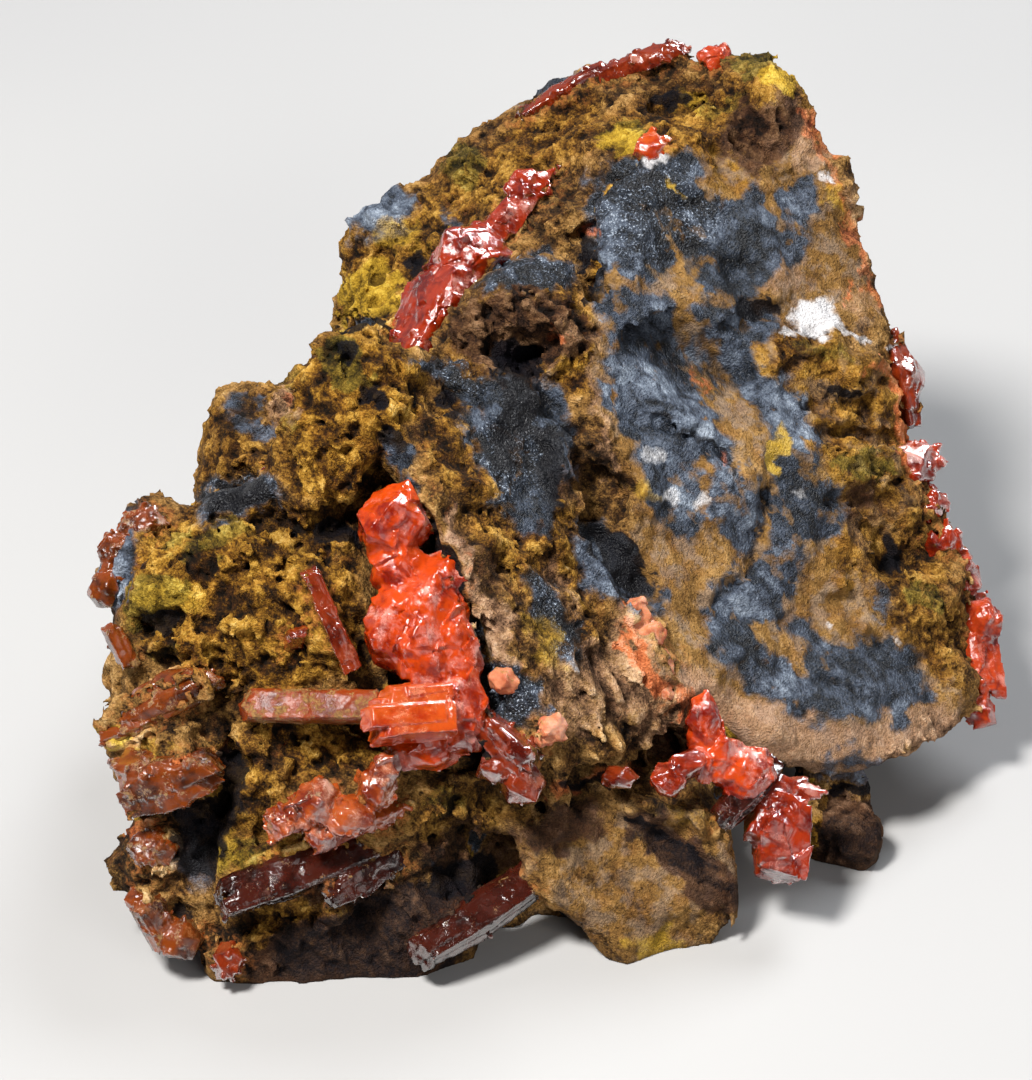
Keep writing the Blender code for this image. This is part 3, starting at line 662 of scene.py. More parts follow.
# ------------------------------------------------------------------------------------- patches of the rock
# Each kind of surface in the layout view, and how strongly it shows: an "area" has an outline, a "line" a
# half-width and its points, and a "spot" is an oval: across, down, half-width, half-height, turn (degrees).
# They are laid on the rock that is seen there.
PATCHES = {
    "sponge": [
        ("area", 1.0, [(120, 560), (150, 525), (205, 515), (275, 500), (335, 515), (362, 600), (372, 665),
                       (300, 692), (225, 692), (165, 662), (122, 620)]),
        ("area", 1.0, [(282, 430), (300, 345), (345, 328), (398, 338), (425, 385), (405, 440), (372, 492),
                       (318, 512), (284, 480)]),
        ("area", 1.0, [(438, 320), (500, 282), (565, 288), (600, 320), (590, 385), (520, 398), (450, 378)]),
        ("area", 0.8, [(410, 440), (450, 395), (500, 430), (548, 470), (590, 540), (600, 640), (560, 650),
                       (500, 570), (440, 480)]),
        ("area", 0.8, [(760, 330), (840, 330), (905, 400), (905, 500), (850, 540), (800, 430), (770, 380)]),
        ("area", 0.8, [(600, 120), (680, 90), (800, 60), (820, 120), (740, 190), (690, 165), (610, 165)]),
        ("area", 0.7, [(820, 540), (930, 500), (965, 640), (960, 700), (900, 640), (850, 600)]),
        ("area", 0.8,
         [(330, 240), (440, 180), (520, 120), (600, 80), (600, 140), (440, 250), (410, 340), (340, 340)]),
        ("area", 0.7, [(200, 400), (310, 380), (300, 495), (200, 495)]), ("spot", 0.9, 330, 740, 90, 40, 0),
        ("spot", 0.9, 235, 790, 50, 50, 0), ("spot", 0.8, 300, 925, 60, 30, 0),
        ("spot", 0.6, 460, 815, 60, 35, 0), ("spot", 0.8, 290, 845, 70, 26, -10),
    ],
    "manganese": [
        ("area", 1.0,
         [(590, 175), (640, 156), (690, 158), (725, 185), (724, 235), (700, 264), (640, 272), (598, 262)]),
        ("area", 1.0, [(722, 200), (745, 182), (770, 190), (770, 222), (800, 228), (815, 240), (790, 262),
                       (765, 290), (738, 300), (700, 300), (700, 262)]),
        ("spot", 1.0, 800, 201, 22, 24, 0),
        ("area", 1.0, [(590, 262), (650, 262), (668, 300), (690, 330), (720, 400), (735, 450), (720, 470),
                       (660, 460), (620, 430), (604, 400), (608, 340)]),
        ("area", 1.0, [(690, 305), (735, 298), (786, 320), (756, 345), (770, 375), (800, 395), (815, 430),
                       (818, 470), (838, 482), (842, 520), (800, 548), (775, 550), (762, 510), (775, 440),
                       (750, 400), (712, 360)]),
        ("area", 1.0, [(640, 446), (700, 466), (708, 540), (664, 540), (640, 500)]),
        ("area", 0.9, [(712, 470), (750, 462), (765, 500), (758, 545), (735, 560), (712, 530)]),
        ("area", 1.0, [(700, 606), (735, 562), (775, 545), (800, 550), (800, 585), (785, 610), (815, 632),
                       (850, 642), (920, 650), (924, 700), (900, 718), (850, 717), (800, 715), (770, 700),
                       (745, 672), (712, 650)]),
        ("area", 1.0, [(455, 392), (480, 372), (520, 385), (560, 385), (572, 450), (545, 530), (515, 525),
                       (488, 480), (470, 440)]),
        ("spot", 1.0, 528, 272, 48, 17, -8), ("spot", 1.0, 620, 565, 34, 50, -40),
        ("spot", 0.8, 555, 620, 18, 50, -30), ("spot", 1.0, 512, 695, 34, 30, 40),
        ("spot", 0.9, 405, 470, 10, 34, -25), ("spot", 0.9, 372, 205, 40, 34, 0),
        ("spot", 0.9, 240, 497, 42, 20, -10), ("spot", 0.8, 520, 80, 50, 22, -20),
        ("spot", 0.9, 112, 560, 22, 50, 10), ("spot", 0.5, 192, 862, 18, 24, -15),
        ("spot", 0.6, 250, 420, 26, 18, 0), ("spot", 0.8, 480, 650, 9, 40, -25),
        ("spot", 0.8, 450, 372, 50, 9, 14), ("spot", 0.7, 245, 405, 24, 14, 10),
        ("spot", 0.7, 456, 230, 10, 18, 0), ("spot", 0.6, 850, 765, 40, 14, -10),
        ("spot", 0.6, 880, 600, 14, 20, 0),
    ],
    "vein": [
        ("line", 1.0, 11,
         [(583, 312), (596, 360), (603, 420), (604, 470), (618, 520), (650, 562), (690, 612)]),
        ("line", 1.0, 7, [(684, 300), (682, 350), (700, 392), (730, 420), (768, 446)]),
        ("line", 0.9, 9, [(606, 280), (650, 290), (692, 285)]), ("line", 0.9, 7, [(672, 236), (684, 280)]),
        ("line", 1.0, 9, [(636, 486), (626, 505), (650, 530), (696, 560), (712, 596)]),
        ("line", 0.8, 5, [(705, 465), (708, 520), (722, 560)]),
        ("line", 0.8, 5, [(768, 496), (764, 545), (740, 572)]),
        ("line", 1.0, 11, [(765, 632), (790, 648), (806, 662)]),
        ("line", 0.9, 10, [(706, 182), (738, 190)]),
        ("line", 0.9, 6, [(796, 172), (774, 182), (768, 205), (785, 228)]),
        ("line", 0.6, 4, [(640, 330), (668, 352)]), ("line", 0.7, 5, [(790, 560), (800, 600), (830, 640)]),
        ("line", 0.6, 4, [(830, 655), (832, 700)]), ("line", 0.6, 4, [(640, 200), (668, 222), (700, 226)]),
        ("line", 0.5, 4, [(620, 365), (650, 372), (690, 360)]),
        ("line", 0.6, 5, [(500, 420), (520, 450), (512, 490)]), ("line", 0.6, 4, [(735, 470), (745, 520)]),
    ],
    "pale": [
        ("area", 0.9,
         [(606, 366), (650, 360), (690, 380), (722, 430), (735, 460), (700, 440), (660, 400), (612, 392)]),
        ("area", 0.6, [(720, 330), (756, 350), (780, 390), (812, 430), (812, 466), (770, 430), (735, 390)]),
        ("spot", 0.9, 700, 500, 30, 26, 0), ("spot", 0.7, 738, 510, 20, 40, -8),
        ("spot", 0.7, 785, 680, 34, 22, 10), ("spot", 0.8, 800, 201, 18, 20, 0),
        ("spot", 0.6, 890, 690, 30, 22, 0), ("spot", 0.7, 740, 600, 24, 20, 20),
        ("spot", 0.7, 372, 205, 34, 30, 0), ("spot", 0.8, 108, 566, 16, 44, 10),
        ("spot", 0.6, 620, 225, 30, 40, 0), ("spot", 0.6, 660, 452, 34, 12, 0),
        ("spot", 0.5, 545, 372, 24, 12, -20),
    ],
    # Rust patches: red-brown rust, and painted shade on the lump under the slab's right side, on the block
    # under the ridge's overhang, over the mound's hollow and along the bottom front.
    "rust_and_painted_shade": [
        ("area", 0.9,
         [(230, 960), (300, 920), (420, 880), (500, 900), (440, 985), (330, 1000), (250, 995)]),
        ("area", 1.0, [(618, 815), (650, 808), (700, 850), (748, 880), (750, 912), (700, 905), (655, 860)]),
        ("spot", 0.7, 560, 830, 44, 24, -20), ("spot", 0.5, 480, 560, 20, 50, -35),
        ("spot", 1.0, 850, 835, 48, 44, 0), ("spot", 0.3, 600, 700, 60, 30, 30),
        ("spot", 0.8, 755, 140, 38, 36, 20), ("spot", 0.8, 340, 880, 60, 24, 0),
        ("spot", 0.6, 560, 470, 16, 50, -20), ("spot", 0.8, 515, 332, 76, 46, 0),
        ("spot", 0.7, 780, 130, 24, 50, 20), ("spot", 0.6, 860, 500, 30, 20, 0),
        ("spot", 0.6, 470, 850, 60, 30, 0),
    ],
    "yellow": [
        ("spot", 1.0, 368, 292, 34, 30, -40), ("spot", 0.8, 622, 140, 30, 14, 0),
        ("spot", 0.9, 782, 80, 22, 13, 15), ("spot", 0.9, 780, 450, 8, 26, 10),
        ("spot", 0.8, 675, 190, 7, 16, -20), ("spot", 0.5, 170, 600, 40, 20, 0),
        ("spot", 0.5, 228, 850, 16, 26, 0), ("spot", 0.8, 112, 738, 18, 12, 0),
        ("spot", 0.6, 400, 232, 24, 20, 0), ("spot", 0.6, 836, 195, 8, 26, -10),
        ("spot", 0.6, 658, 945, 30, 18, -10), ("spot", 0.6, 690, 100, 24, 12, 0),
        ("spot", 0.5, 150, 750, 24, 10, 0), ("spot", 0.5, 545, 640, 16, 40, -30),
        ("spot", 0.5, 640, 490, 20, 14, 0),
        ("area", 0.4, [(633, 792), (700, 800), (722, 826), (690, 832), (650, 815)]),
        ("spot", 0.45, 662, 946, 34, 20, 0),
    ],
    "white": [
        ("area", 1.0, [(786, 318), (798, 303), (822, 300), (840, 312), (848, 330), (822, 336), (798, 330)]),
        ("line", 0.62, 5, [(840, 324), (868, 338)]), ("spot", 0.7, 893, 346, 9, 6, 30),
        ("spot", 0.6, 790, 333, 18, 5, 0), ("spot", 0.55, 655, 455, 15, 9, -10),
        ("spot", 0.55, 668, 496, 14, 11, 10), ("spot", 0.6, 704, 497, 11, 15, 0),
        ("spot", 0.5, 795, 492, 12, 6, 0), ("spot", 0.7, 655, 158, 18, 7, 0),
        # The spot at 98, 566 paints the glints of the glassy grains on the left edge: painted highlights.
        ("spot", 0.6, 830, 620, 6, 5, 0), ("spot", 0.7, 98, 566, 6, 16, 10),
        ("spot", 0.6, 824, 178, 8, 6, 0), ("spot", 0.5, 895, 640, 8, 6, 0),
    ],
    "pink": [
        ("area", 0.8,
         [(680, 660), (740, 690), (860, 722), (960, 696), (965, 740), (860, 775), (760, 775), (690, 730)]),
        ("area", 0.6, [(610, 600), (640, 620), (690, 690), (700, 770), (640, 750), (600, 680)]),
        ("line", 0.8, 8, [(448, 520), (470, 580), (498, 640), (540, 710)]),
        ("spot", 0.7, 505, 622, 18, 26, 0), ("line", 0.6, 6, [(590, 330), (600, 400), (612, 470)]),
        ("spot", 0.5, 545, 378, 26, 8, -20), ("spot", 0.7, 800, 120, 14, 60, -14),
        ("spot", 0.5, 860, 230, 16, 60, -12), ("spot", 0.5, 740, 620, 20, 40, 0),
        ("spot", 0.6, 780, 270, 30, 30, 0), ("spot", 0.5, 860, 300, 30, 14, 20),
        ("spot", 0.7, 285, 402, 20, 16, -40), ("spot", 0.55, 585, 690, 44, 60, 20),
        ("spot", 0.5, 560, 600, 20, 50, -20),
    ],
    "orange": [
        ("line", 0.85, 9, [(628, 620), (640, 660), (662, 698)]),
        ("line", 0.4, 3, [(432, 482), (450, 530), (470, 580)]),
        ("line", 0.55, 9, [(808, 118), (828, 160), (844, 210), (864, 262), (880, 300)]),
        ("spot", 0.7, 850, 295, 8, 12, -20), ("spot", 0.7, 690, 710, 10, 30, -20),
        ("spot", 0.6, 556, 330, 8, 8, 0), ("spot", 0.7, 480, 105, 16, 12, 0),
        ("spot", 0.5, 292, 398, 9, 10, 0), ("spot", 0.6, 720, 455, 5, 8, 0),
        ("line", 0.7, 4, [(690, 375), (705, 400)]), ("spot", 0.8, 596, 232, 6, 10, 0),
        ("spot", 0.7, 905, 420, 8, 60, -8), ("spot", 0.8, 200, 760, 40, 10, -20),
        ("spot", 0.6, 140, 820, 14, 20, 0), ("spot", 0.6, 560, 790, 20, 8, 0),
        ("spot", 0.7, 610, 775, 40, 7, -4), ("spot", 0.6, 880, 370, 20, 8, 0),
    ],
    "green": [
        ("spot", 0.9, 345, 365, 24, 30, -20), ("spot", 0.8, 150, 600, 34, 24, -30),
        ("spot", 0.9, 748, 58, 30, 17, 0), ("spot", 0.8, 628, 135, 34, 14, 0),
        ("spot", 0.8, 866, 465, 30, 16, 0), ("spot", 0.6, 465, 165, 26, 26, 30),
        ("spot", 0.5, 440, 800, 30, 18, 0), ("spot", 0.6, 210, 540, 50, 20, -20),
        ("spot", 0.7, 930, 600, 24, 16, 0), ("spot", 0.5, 720, 105, 30, 14, 0),
        ("spot", 0.5, 290, 400, 10, 40, 10), ("spot", 0.5, 820, 350, 40, 10, 10),
        ("spot", 0.6, 240, 855, 30, 20, 0), ("spot", 0.5, 165, 655, 20, 12, 0),
    ],
    # Black patches: black oxide where the rock is black, and painted shade where shade falls: the crevice
    # under the knob, the lower-left hollows, the gap under the ridge and the underside of the slab's lower
    # edge.
    "black_and_painted_shade": [
        ("spot", 1.0, 240, 498, 34, 15, -12), ("spot", 1.0, 222, 780, 22, 36, 20),
        ("spot", 1.0, 622, 560, 18, 46, -38), ("spot", 1.0, 757, 309, 26, 9, 0),
        ("spot", 1.0, 590, 272, 10, 34, 0), ("spot", 1.0, 550, 465, 14, 44, -6),
        ("spot", 0.9, 444, 400, 15, 13, 0), ("spot", 0.9, 482, 670, 9, 14, 0),
        ("spot", 0.8, 470, 745, 26, 12, 0), ("spot", 1.0, 514, 362, 24, 22, 30),
        ("spot", 0.9, 162, 624, 24, 10, -6), ("spot", 0.8, 600, 780, 50, 6, -8),
        ("line", 0.9, 5, [(430, 525), (448, 560), (462, 590)]), ("spot", 0.9, 330, 535, 30, 14, 10),
        ("spot", 1.0, 672, 100, 20, 9, 0), ("spot", 1.0, 205, 800, 40, 36, 20),
        ("spot", 0.9, 196, 846, 30, 26, 0),
        ("area", 0.5, [(262, 945), (330, 905), (440, 862), (505, 885), (470, 965), (380, 992), (270, 985)]),
        ("spot", 0.7, 888, 552, 10, 24, 0),
        ("line", 0.55, 5, [(655, 420), (690, 430), (725, 452), (745, 480)]),
        ("spot", 0.7, 418, 265, 10, 22, 0),
        ("line", 0.55, 5, [(768, 470), (762, 520), (748, 572), (716, 606)]),
        ("spot", 0.8, 205, 850, 12, 30, -10), ("spot", 0.8, 352, 352, 10, 12, 0),
        ("spot", 0.7, 372, 398, 14, 9, 40), ("spot", 0.7, 392, 436, 16, 10, 30),
        ("spot", 0.7, 845, 392, 30, 6, 4), ("line", 0.8, 6, [(770, 790), (840, 790), (900, 770)]),
        ("spot", 0.8, 465, 880, 40, 24, -20), ("line", 0.5, 12, [(640, 835), (690, 865), (742, 895)]),
        ("line", 0.7, 4, [(618, 816), (660, 830), (700, 862)]), ("spot", 0.7, 180, 920, 12, 20, 30),
        ("spot", 0.45, 852, 838, 40, 34, 0),
        ("line", 0.8, 5, [(340, 330), (372, 325), (402, 330), (424, 345)]),
        ("spot", 0.6, 520, 405, 24, 34, 10), ("spot", 0.6, 505, 450, 16, 26, 0),
        ("spot", 0.5, 545, 500, 12, 30, -20),
    ],
    "solid": [
        ("spot", 0.8, 655, 215, 70, 56, 0), ("spot", 0.9, 520, 440, 40, 70, 20),
        ("spot", 1.0, 528, 272, 50, 20, -8), ("spot", 0.9, 770, 370, 50, 40, 30),
        ("spot", 0.9, 620, 565, 34, 50, -40), ("spot", 0.9, 840, 680, 100, 30, 10),
        ("spot", 0.9, 512, 695, 34, 30, 40), ("spot", 1.0, 240, 496, 50, 24, -10),
        ("spot", 1.0, 192, 855, 30, 44, -15), ("spot", 0.9, 660, 400, 60, 50, 20),
        ("spot", 0.7, 745, 235, 40, 50, 0), ("spot", 1.0, 800, 201, 24, 26, 0),
        ("spot", 0.8, 112, 560, 22, 50, 10), ("spot", 0.8, 372, 205, 40, 34, 0),
    ],
    "nodular": [
        ("spot", 0.8, 655, 212, 66, 52, 0), ("spot", 1.0, 512, 695, 34, 30, 40),
        ("spot", 0.8, 528, 272, 48, 18, -8), ("spot", 0.9, 515, 450, 34, 60, 10),
        ("spot", 0.8, 560, 620, 20, 50, -30), ("spot", 0.9, 240, 496, 40, 20, -10),
        ("spot", 0.8, 480, 650, 12, 40, -25), ("spot", 0.7, 450, 372, 50, 12, 14),
    ],
    "crust": [
        ("spot", 0.9, 120, 735, 34, 20, 0), ("spot", 0.7, 300, 704, 36, 8, 0),
        ("spot", 0.7, 160, 680, 60, 10, -30), ("spot", 0.8, 290, 845, 66, 14, -12),
        ("spot", 0.7, 160, 870, 16, 60, 20), ("spot", 0.6, 200, 752, 50, 14, -20),
        ("spot", 0.4, 500, 760, 30, 14, 30), ("spot", 0.6, 640, 640, 20, 40, -20),
        ("spot", 0.6, 300, 930, 50, 20, 0), ("spot", 0.7, 200, 700, 40, 10, -20),
        ("spot", 0.6, 135, 810, 30, 16, 0), ("spot", 0.5, 460, 910, 30, 10, -30),
    ],
    "calm": [
        ("area", 1.0, [(598, 180), (640, 158), (700, 160), (760, 150), (825, 130), (845, 230), (890, 320),
                       (780, 322), (760, 380), (810, 430), (850, 560), (920, 640), (965, 700), (850, 775),
                       (720, 760), (640, 640), (640, 520), (600, 400)]),
        ("spot", 0.8, 620, 880, 100, 70, 30), ("spot", 0.8, 700, 860, 60, 60, 30),
        ("spot", 0.7, 380, 940, 110, 30, -20), ("spot", 0.5, 850, 440, 70, 110, 0),
    ],
    "fibre": [
        ("area", 1.0, [(540, 640), (600, 620), (700, 700), (720, 790), (640, 790), (570, 740)]),
        ("area", 0.9, [(240, 960), (420, 880), (510, 890), (440, 990), (300, 1010)]),
        ("spot", 0.8, 590, 820, 70, 30, 10), ("spot", 0.8, 690, 860, 60, 30, 35),
    ],
}
# Steps, rims and grooves of the rock: height in mm, half-width in pixels, and the line that each follows.
STROKES = [
    (0.22, 6,
     [(396, 442), (412, 470), (430, 502), (447, 535), (470, 590), (497, 645), (530, 690), (556, 730)]),
    (-0.3, 7, [(425, 520), (445, 560), (462, 592), (478, 640)]),
    (0.35, 10, [(640, 330), (660, 400), (700, 430), (760, 470)]),
    (-0.35, 6, [(620, 480), (660, 510), (720, 530)]),
    (0.3, 8, [(720, 560), (760, 600), (800, 660), (880, 690)]),
    (-0.4, 5, [(735, 640), (780, 670), (850, 690)]), (0.35, 9, [(770, 400), (800, 440), (830, 480)]),
    (0.3, 6, [(650, 200), (690, 215), (720, 250)]), (-0.4, 6, [(610, 190), (640, 210), (700, 205)]),
    (0.3, 5, [(720, 330), (752, 346), (772, 380), (806, 402)]),
    (-0.3, 4, [(700, 300), (706, 350), (735, 390), (775, 425)]),
    (0.25, 5, [(560, 640), (590, 690), (620, 750)]), (-0.3, 5, [(575, 630), (606, 690), (640, 760)]),
]
# Lumps and hollows of the rock that the CAD solid is too plain for: whether it is added or cut, its radius
# and how far its middle stands above the surface in mm, and the line that it follows in the layout view.
FORMS = [
    # the knob, the crevice below it and its own grooves
    ("cut", 1.0, 0.0, [(266, 522), (300, 533), (335, 524), (364, 505)]),
    ("cut", 0.8, 0.2, [(305, 545), (345, 560)]),
    ("cut", 0.55, 0.05, [(348, 350), (352, 380), (358, 405), (372, 425), (388, 442)]),
    ("add", 1.7, -1.0, [(316, 395), (306, 445)]), ("add", 1.3, -0.7, [(336, 482)]),
    ("add", 1.3, -0.7, [(393, 362)]), ("add", 1.0, -0.5, [(330, 352)]), ("add", 0.9, -0.4, [(330, 430)]),
    ("cut", 0.5, 0.2, [(318, 372)]), ("cut", 0.6, 0.2, [(376, 468), (390, 490)]),
    ("cut", 0.6, 0.25, [(322, 462), (348, 450)]), ("cut", 0.9, 0.3, [(222, 505), (262, 510)]),
    ("cut", 0.8, 0.4, [(412, 346), (424, 378), (412, 420)]),
    ("cut", 0.9, 0.1, [(336, 328), (360, 322), (386, 322), (408, 330), (426, 346)]),
    # the left dome and its lobe
    ("cut", 0.65, 0.1, [(216, 545), (205, 580), (201, 612), (212, 650), (232, 684)]),
    ("cut", 0.95, 0.2, [(140, 630), (162, 622), (186, 627)]), ("add", 1.6, -0.9, [(152, 575)]),
    ("add", 1.4, -0.8, [(182, 556)]), ("add", 0.9, -0.4, [(138, 602)]),
    ("add", 1.5, -1.0, [(236, 552), (256, 566)]), ("add", 1.3, -0.8, [(242, 616)]),
    ("add", 1.4, -0.9, [(286, 642)]), ("add", 1.2, -0.8, [(306, 590)]), ("add", 1.1, -0.7, [(330, 650)]),
    ("cut", 0.6, 0.25, [(262, 606), (280, 612)]), ("cut", 0.5, 0.15, [(262, 660)]),
    ("cut", 0.8, 0.3, [(352, 596), (362, 650), (374, 690)]), ("cut", 0.5, 0.2, [(300, 560), (276, 580)]),
    # the ridge, its faces and the black hollows beside the slab
    ("cut", 0.7, 0.2, [(556, 392), (566, 430)]), ("cut", 0.8, 0.4, [(540, 430), (536, 455)]),
    ("add", 1.5, -1.0, [(562, 440), (614, 448)]), ("add", 1.5, -1.1, [(566, 482), (612, 492)]),
    ("add", 0.7, -0.1, [(556, 452)]), ("add", 0.6, 0.0, [(562, 486)]), ("add", 0.5, 0.1, [(548, 470)]),
    ("add", 0.6, 0.0, [(545, 505)]), ("cut", 1.0, 0.15, [(592, 526), (614, 556), (645, 594)]),
    ("cut", 0.6, 0.2, [(572, 440), (582, 490), (592, 526)]), ("add", 1.0, -0.5, [(448, 438)]),
    ("add", 0.9, -0.4, [(470, 478)]), ("add", 1.4, -0.8, [(476, 540)]), ("add", 1.3, -0.7, [(556, 540)]),
    ("add", 0.8, -0.3, [(500, 412)]), ("cut", 0.9, 0.25, [(438, 402), (452, 396)]),
    ("cut", 0.55, 0.15, [(512, 560), (522, 600), (545, 650)]), ("add", 0.8, -0.3, [(430, 470), (446, 500)]),
    ("add", 0.5, -0.15, [(414, 362), (450, 374), (500, 386), (528, 398)]),
    ("cut", 0.8, 0.3, [(486, 668), (480, 655)]), ("cut", 0.9, 0.4, [(470, 596), (492, 650)]),
    ("add", 1.0, -0.6, [(510, 610), (530, 650)]),
    # the mound, its hollow and the gap to the slab
    ("cut", 1.25, 0.35, [(496, 346), (514, 364)]), ("add", 1.4, -0.8, [(538, 304)]),
    ("add", 1.1, -0.5, [(572, 318)]), ("add", 0.9, -0.4, [(462, 322)]), ("add", 0.8, -0.3, [(505, 296)]),
    ("cut", 0.9, 0.2, [(591, 236), (590, 300)]), ("add", 0.5, -0.05, [(520, 387), (545, 373), (564, 350)]),
    ("add", 0.9, -0.4, [(586, 345)]), ("cut", 0.7, 0.25, [(480, 310), (494, 325)]),
    ("cut", 0.5, 0.2, [(548, 336), (566, 348)]),
    # the slab
    ("cut", 0.7, 0.1, [(745, 309), (775, 309)]),
    ("cut", 0.5, 0.15, [(652, 420), (690, 430), (725, 452), (745, 486)]),
    ("cut", 0.5, 0.15, [(768, 465), (762, 520), (748, 570), (718, 604)]), ("cut", 12, 11.8, [(690, 400)]),
    ("cut", 12, 11.8, [(765, 400)]), ("cut", 10, 9.85, [(740, 240)]), ("cut", 9, 8.8, [(840, 690)]),
    ("add", 1.0, -0.8, [(640, 225)]), ("add", 1.1, -0.9, [(690, 190)]), ("add", 0.9, -0.7, [(615, 245)]),
    ("add", 0.9, -0.7, [(670, 245)]), ("cut", 0.5, 0.32, [(610, 205), (640, 195)]),
    # the lumps and ledges along the slab's right side
    ("add", 1.7, -1.0, [(780, 348), (822, 356), (862, 368)]),
    ("cut", 0.75, 0.2, [(792, 396), (830, 404), (868, 406)]), ("add", 1.5, -0.8, [(850, 465), (882, 464)]),
    ("cut", 0.7, 0.2, [(824, 428), (860, 436), (896, 440)]),
    ("cut", 0.7, 0.2, [(836, 500), (866, 505), (898, 500)]), ("cut", 0.9, 0.2, [(884, 540), (890, 572)]),
    ("add", 1.2, -0.7, [(836, 582)]), ("add", 1.0, -0.6, [(852, 622)]), ("add", 1.2, -0.7, [(926, 602)]),
    ("cut", 0.7, 0.3, [(905, 560), (930, 570)]), ("add", 1.0, -0.6, [(845, 525)]),
    ("cut", 0.6, 0.3, [(880, 640)]),
    # the upper band
    ("cut", 1.0, 0.15, [(660, 100), (686, 100)]), ("add", 1.2, -0.6, [(750, 60)]),
    ("add", 1.2, -0.7, [(722, 106)]), ("add", 1.4, -0.9, [(684, 138)]),
    ("cut", 0.9, 0.3, [(742, 138), (768, 152)]), ("cut", 0.7, 0.2, [(716, 150), (724, 172)]),
    ("add", 1.0, -0.5, [(614, 132)]), ("add", 0.8, -0.4, [(640, 138)]), ("add", 1.5, -0.8, [(468, 166)]),
    ("add", 1.0, -0.4, [(378, 286)]), ("add", 0.8, -0.3, [(352, 304)]), ("add", 1.0, -0.5, [(402, 236)]),
    ("cut", 0.7, 0.2, [(384, 258), (376, 300)]), ("add", 1.7, -0.4, [(368, 214), (378, 232)]),
    ("add", 1.2, -0.7, [(400, 198)]), ("cut", 0.8, 0.3, [(416, 250), (418, 285)]),
    ("cut", 0.8, 0.35, [(560, 118), (590, 108)]), ("add", 1.2, -0.7, [(556, 216)]),
    ("cut", 0.7, 0.3, [(520, 160), (548, 180)]), ("add", 1.1, -0.7, [(520, 100)]),
    ("add", 1.2, -0.7, [(250, 430)]), ("cut", 0.8, 0.35, [(262, 470), (230, 470)]),
    ("add", 1.1, -0.6, [(280, 405)]),
    # the hollows and crumbs of the lower left
    ("cut", 1.2, 0.35, [(230, 758), (226, 786), (205, 806)]), ("add", 0.9, -0.3, [(240, 806)]),
    ("add", 0.8, -0.3, [(188, 814)]), ("cut", 0.9, 0.35, [(216, 848), (200, 872)]),
    ("add", 1.0, -0.5, [(258, 742)]), ("add", 1.0, -0.5, [(280, 768)]),
    ("cut", 0.7, 0.25, [(300, 742), (330, 760), (345, 745)]),
    ("cut", 0.8, 0.25, [(232, 920), (300, 912), (368, 896)]),
    ("cut", 1.0, 0.4, [(345, 930), (420, 892), (470, 868)]), ("add", 0.9, -0.5, [(290, 924)]),
    ("add", 0.8, -0.4, [(335, 912)]), ("add", 0.8, -0.4, [(228, 850)]),
    ("cut", 0.7, 0.3, [(262, 800), (262, 830)]), ("cut", 0.9, 0.4, [(180, 905), (205, 925)]),
    # the crevice under the ridge, and the flat faces of the lower block
    ("cut", 1.2, 0.1, [(475, 798), (520, 806), (556, 790), (600, 778), (640, 780), (690, 800)]),
    ("cut", 1.0, 0.3, [(440, 830), (490, 850), (505, 880)]), ("cut", 14, 13.5, [(590, 870)]),
    ("cut", 12, 11.6, [(690, 870)]), ("cut", 8, 7.6, [(660, 945)]),
    ("cut", 0.6, 0.15, [(618, 816), (660, 836), (705, 872), (742, 890)]),
    ("add", 0.6, -0.2, [(640, 800), (690, 818), (722, 850)]), ("cut", 0.5, 0.2, [(560, 850), (600, 880)]),
    ("cut", 0.9, 0.2, [(770, 792), (840, 794), (900, 775)]), ("add", 0.7, -0.3, [(560, 770), (552, 795)]),
    ("cut", 8, 7.7, [(850, 740)]), ("add", 0.8, -0.4, [(600, 740), (640, 760)]),
]
HIDDEN_FORMS = 150  # how many more there are where the view doesn't reach
STEADY = {"white": 0.6, "black_and_painted_shade": 0.8, "stroke": 0.5}  # how much noise pushes the borders of some maps about
MAP_STEP = 4.0
MAP_LOW = np.array([20.0, -20.0])
MAP_SIZE = (260, 290)
MAP_X = (MAP_LOW[0] + np.arange(MAP_SIZE[0]) * MAP_STEP)[:, None]
MAP_Y = (MAP_LOW[1] + np.arange(MAP_SIZE[1]) * MAP_STEP)[None, :]
AREA_EDGE = 12  # how soft the border of an area is, in pixels
FAR = 1e3  # the depth where the view meets no surface
HIDDEN_BEHIND = (1.6, 3.2)  # points so far behind the first surface lose what is laid on it


def drawn(forms):
    """One kind of patch as a map of its strength over the layout view."""
    x, y = MAP_X, MAP_Y
    total = np.zeros(MAP_SIZE, np.float32)
    for kind, strength, *values in forms:
        if kind == "spot":
            across, down, half_w, half_h, turn = values
            c, s = math.cos(math.radians(turn)), math.sin(math.radians(turn))
            u = ((x - across) * c + (y - down) * s) / half_w
            v = (-(x - across) * s + (y - down) * c) / half_h
            shape = 1 - smooth(0.6, 1.4, np.sqrt(u * u + v * v))
        elif kind == "line":
            half, line = values
            shape = 1 - smooth(0.5, 1.5, line_distance(line) / half)
        else:
            corners = np.array(values[0], float)
            inside = np.zeros(MAP_SIZE, bool)
            for (x0, y0), (x1, y1) in zip(corners, np.roll(corners, -1, 0)):
                rise = y1 - y0 if y1 != y0 else 1e-9
                inside ^= ((y0 > y) != (y1 > y)) & (x < (x1 - x0) * (y - y0) / rise + x0)
            nearest = line_distance([*corners, corners[0]])
            shape = smooth(-AREA_EDGE, AREA_EDGE, np.where(inside, nearest, -nearest))
        total = np.maximum(total, strength * shape)
    return total.astype(np.float32)


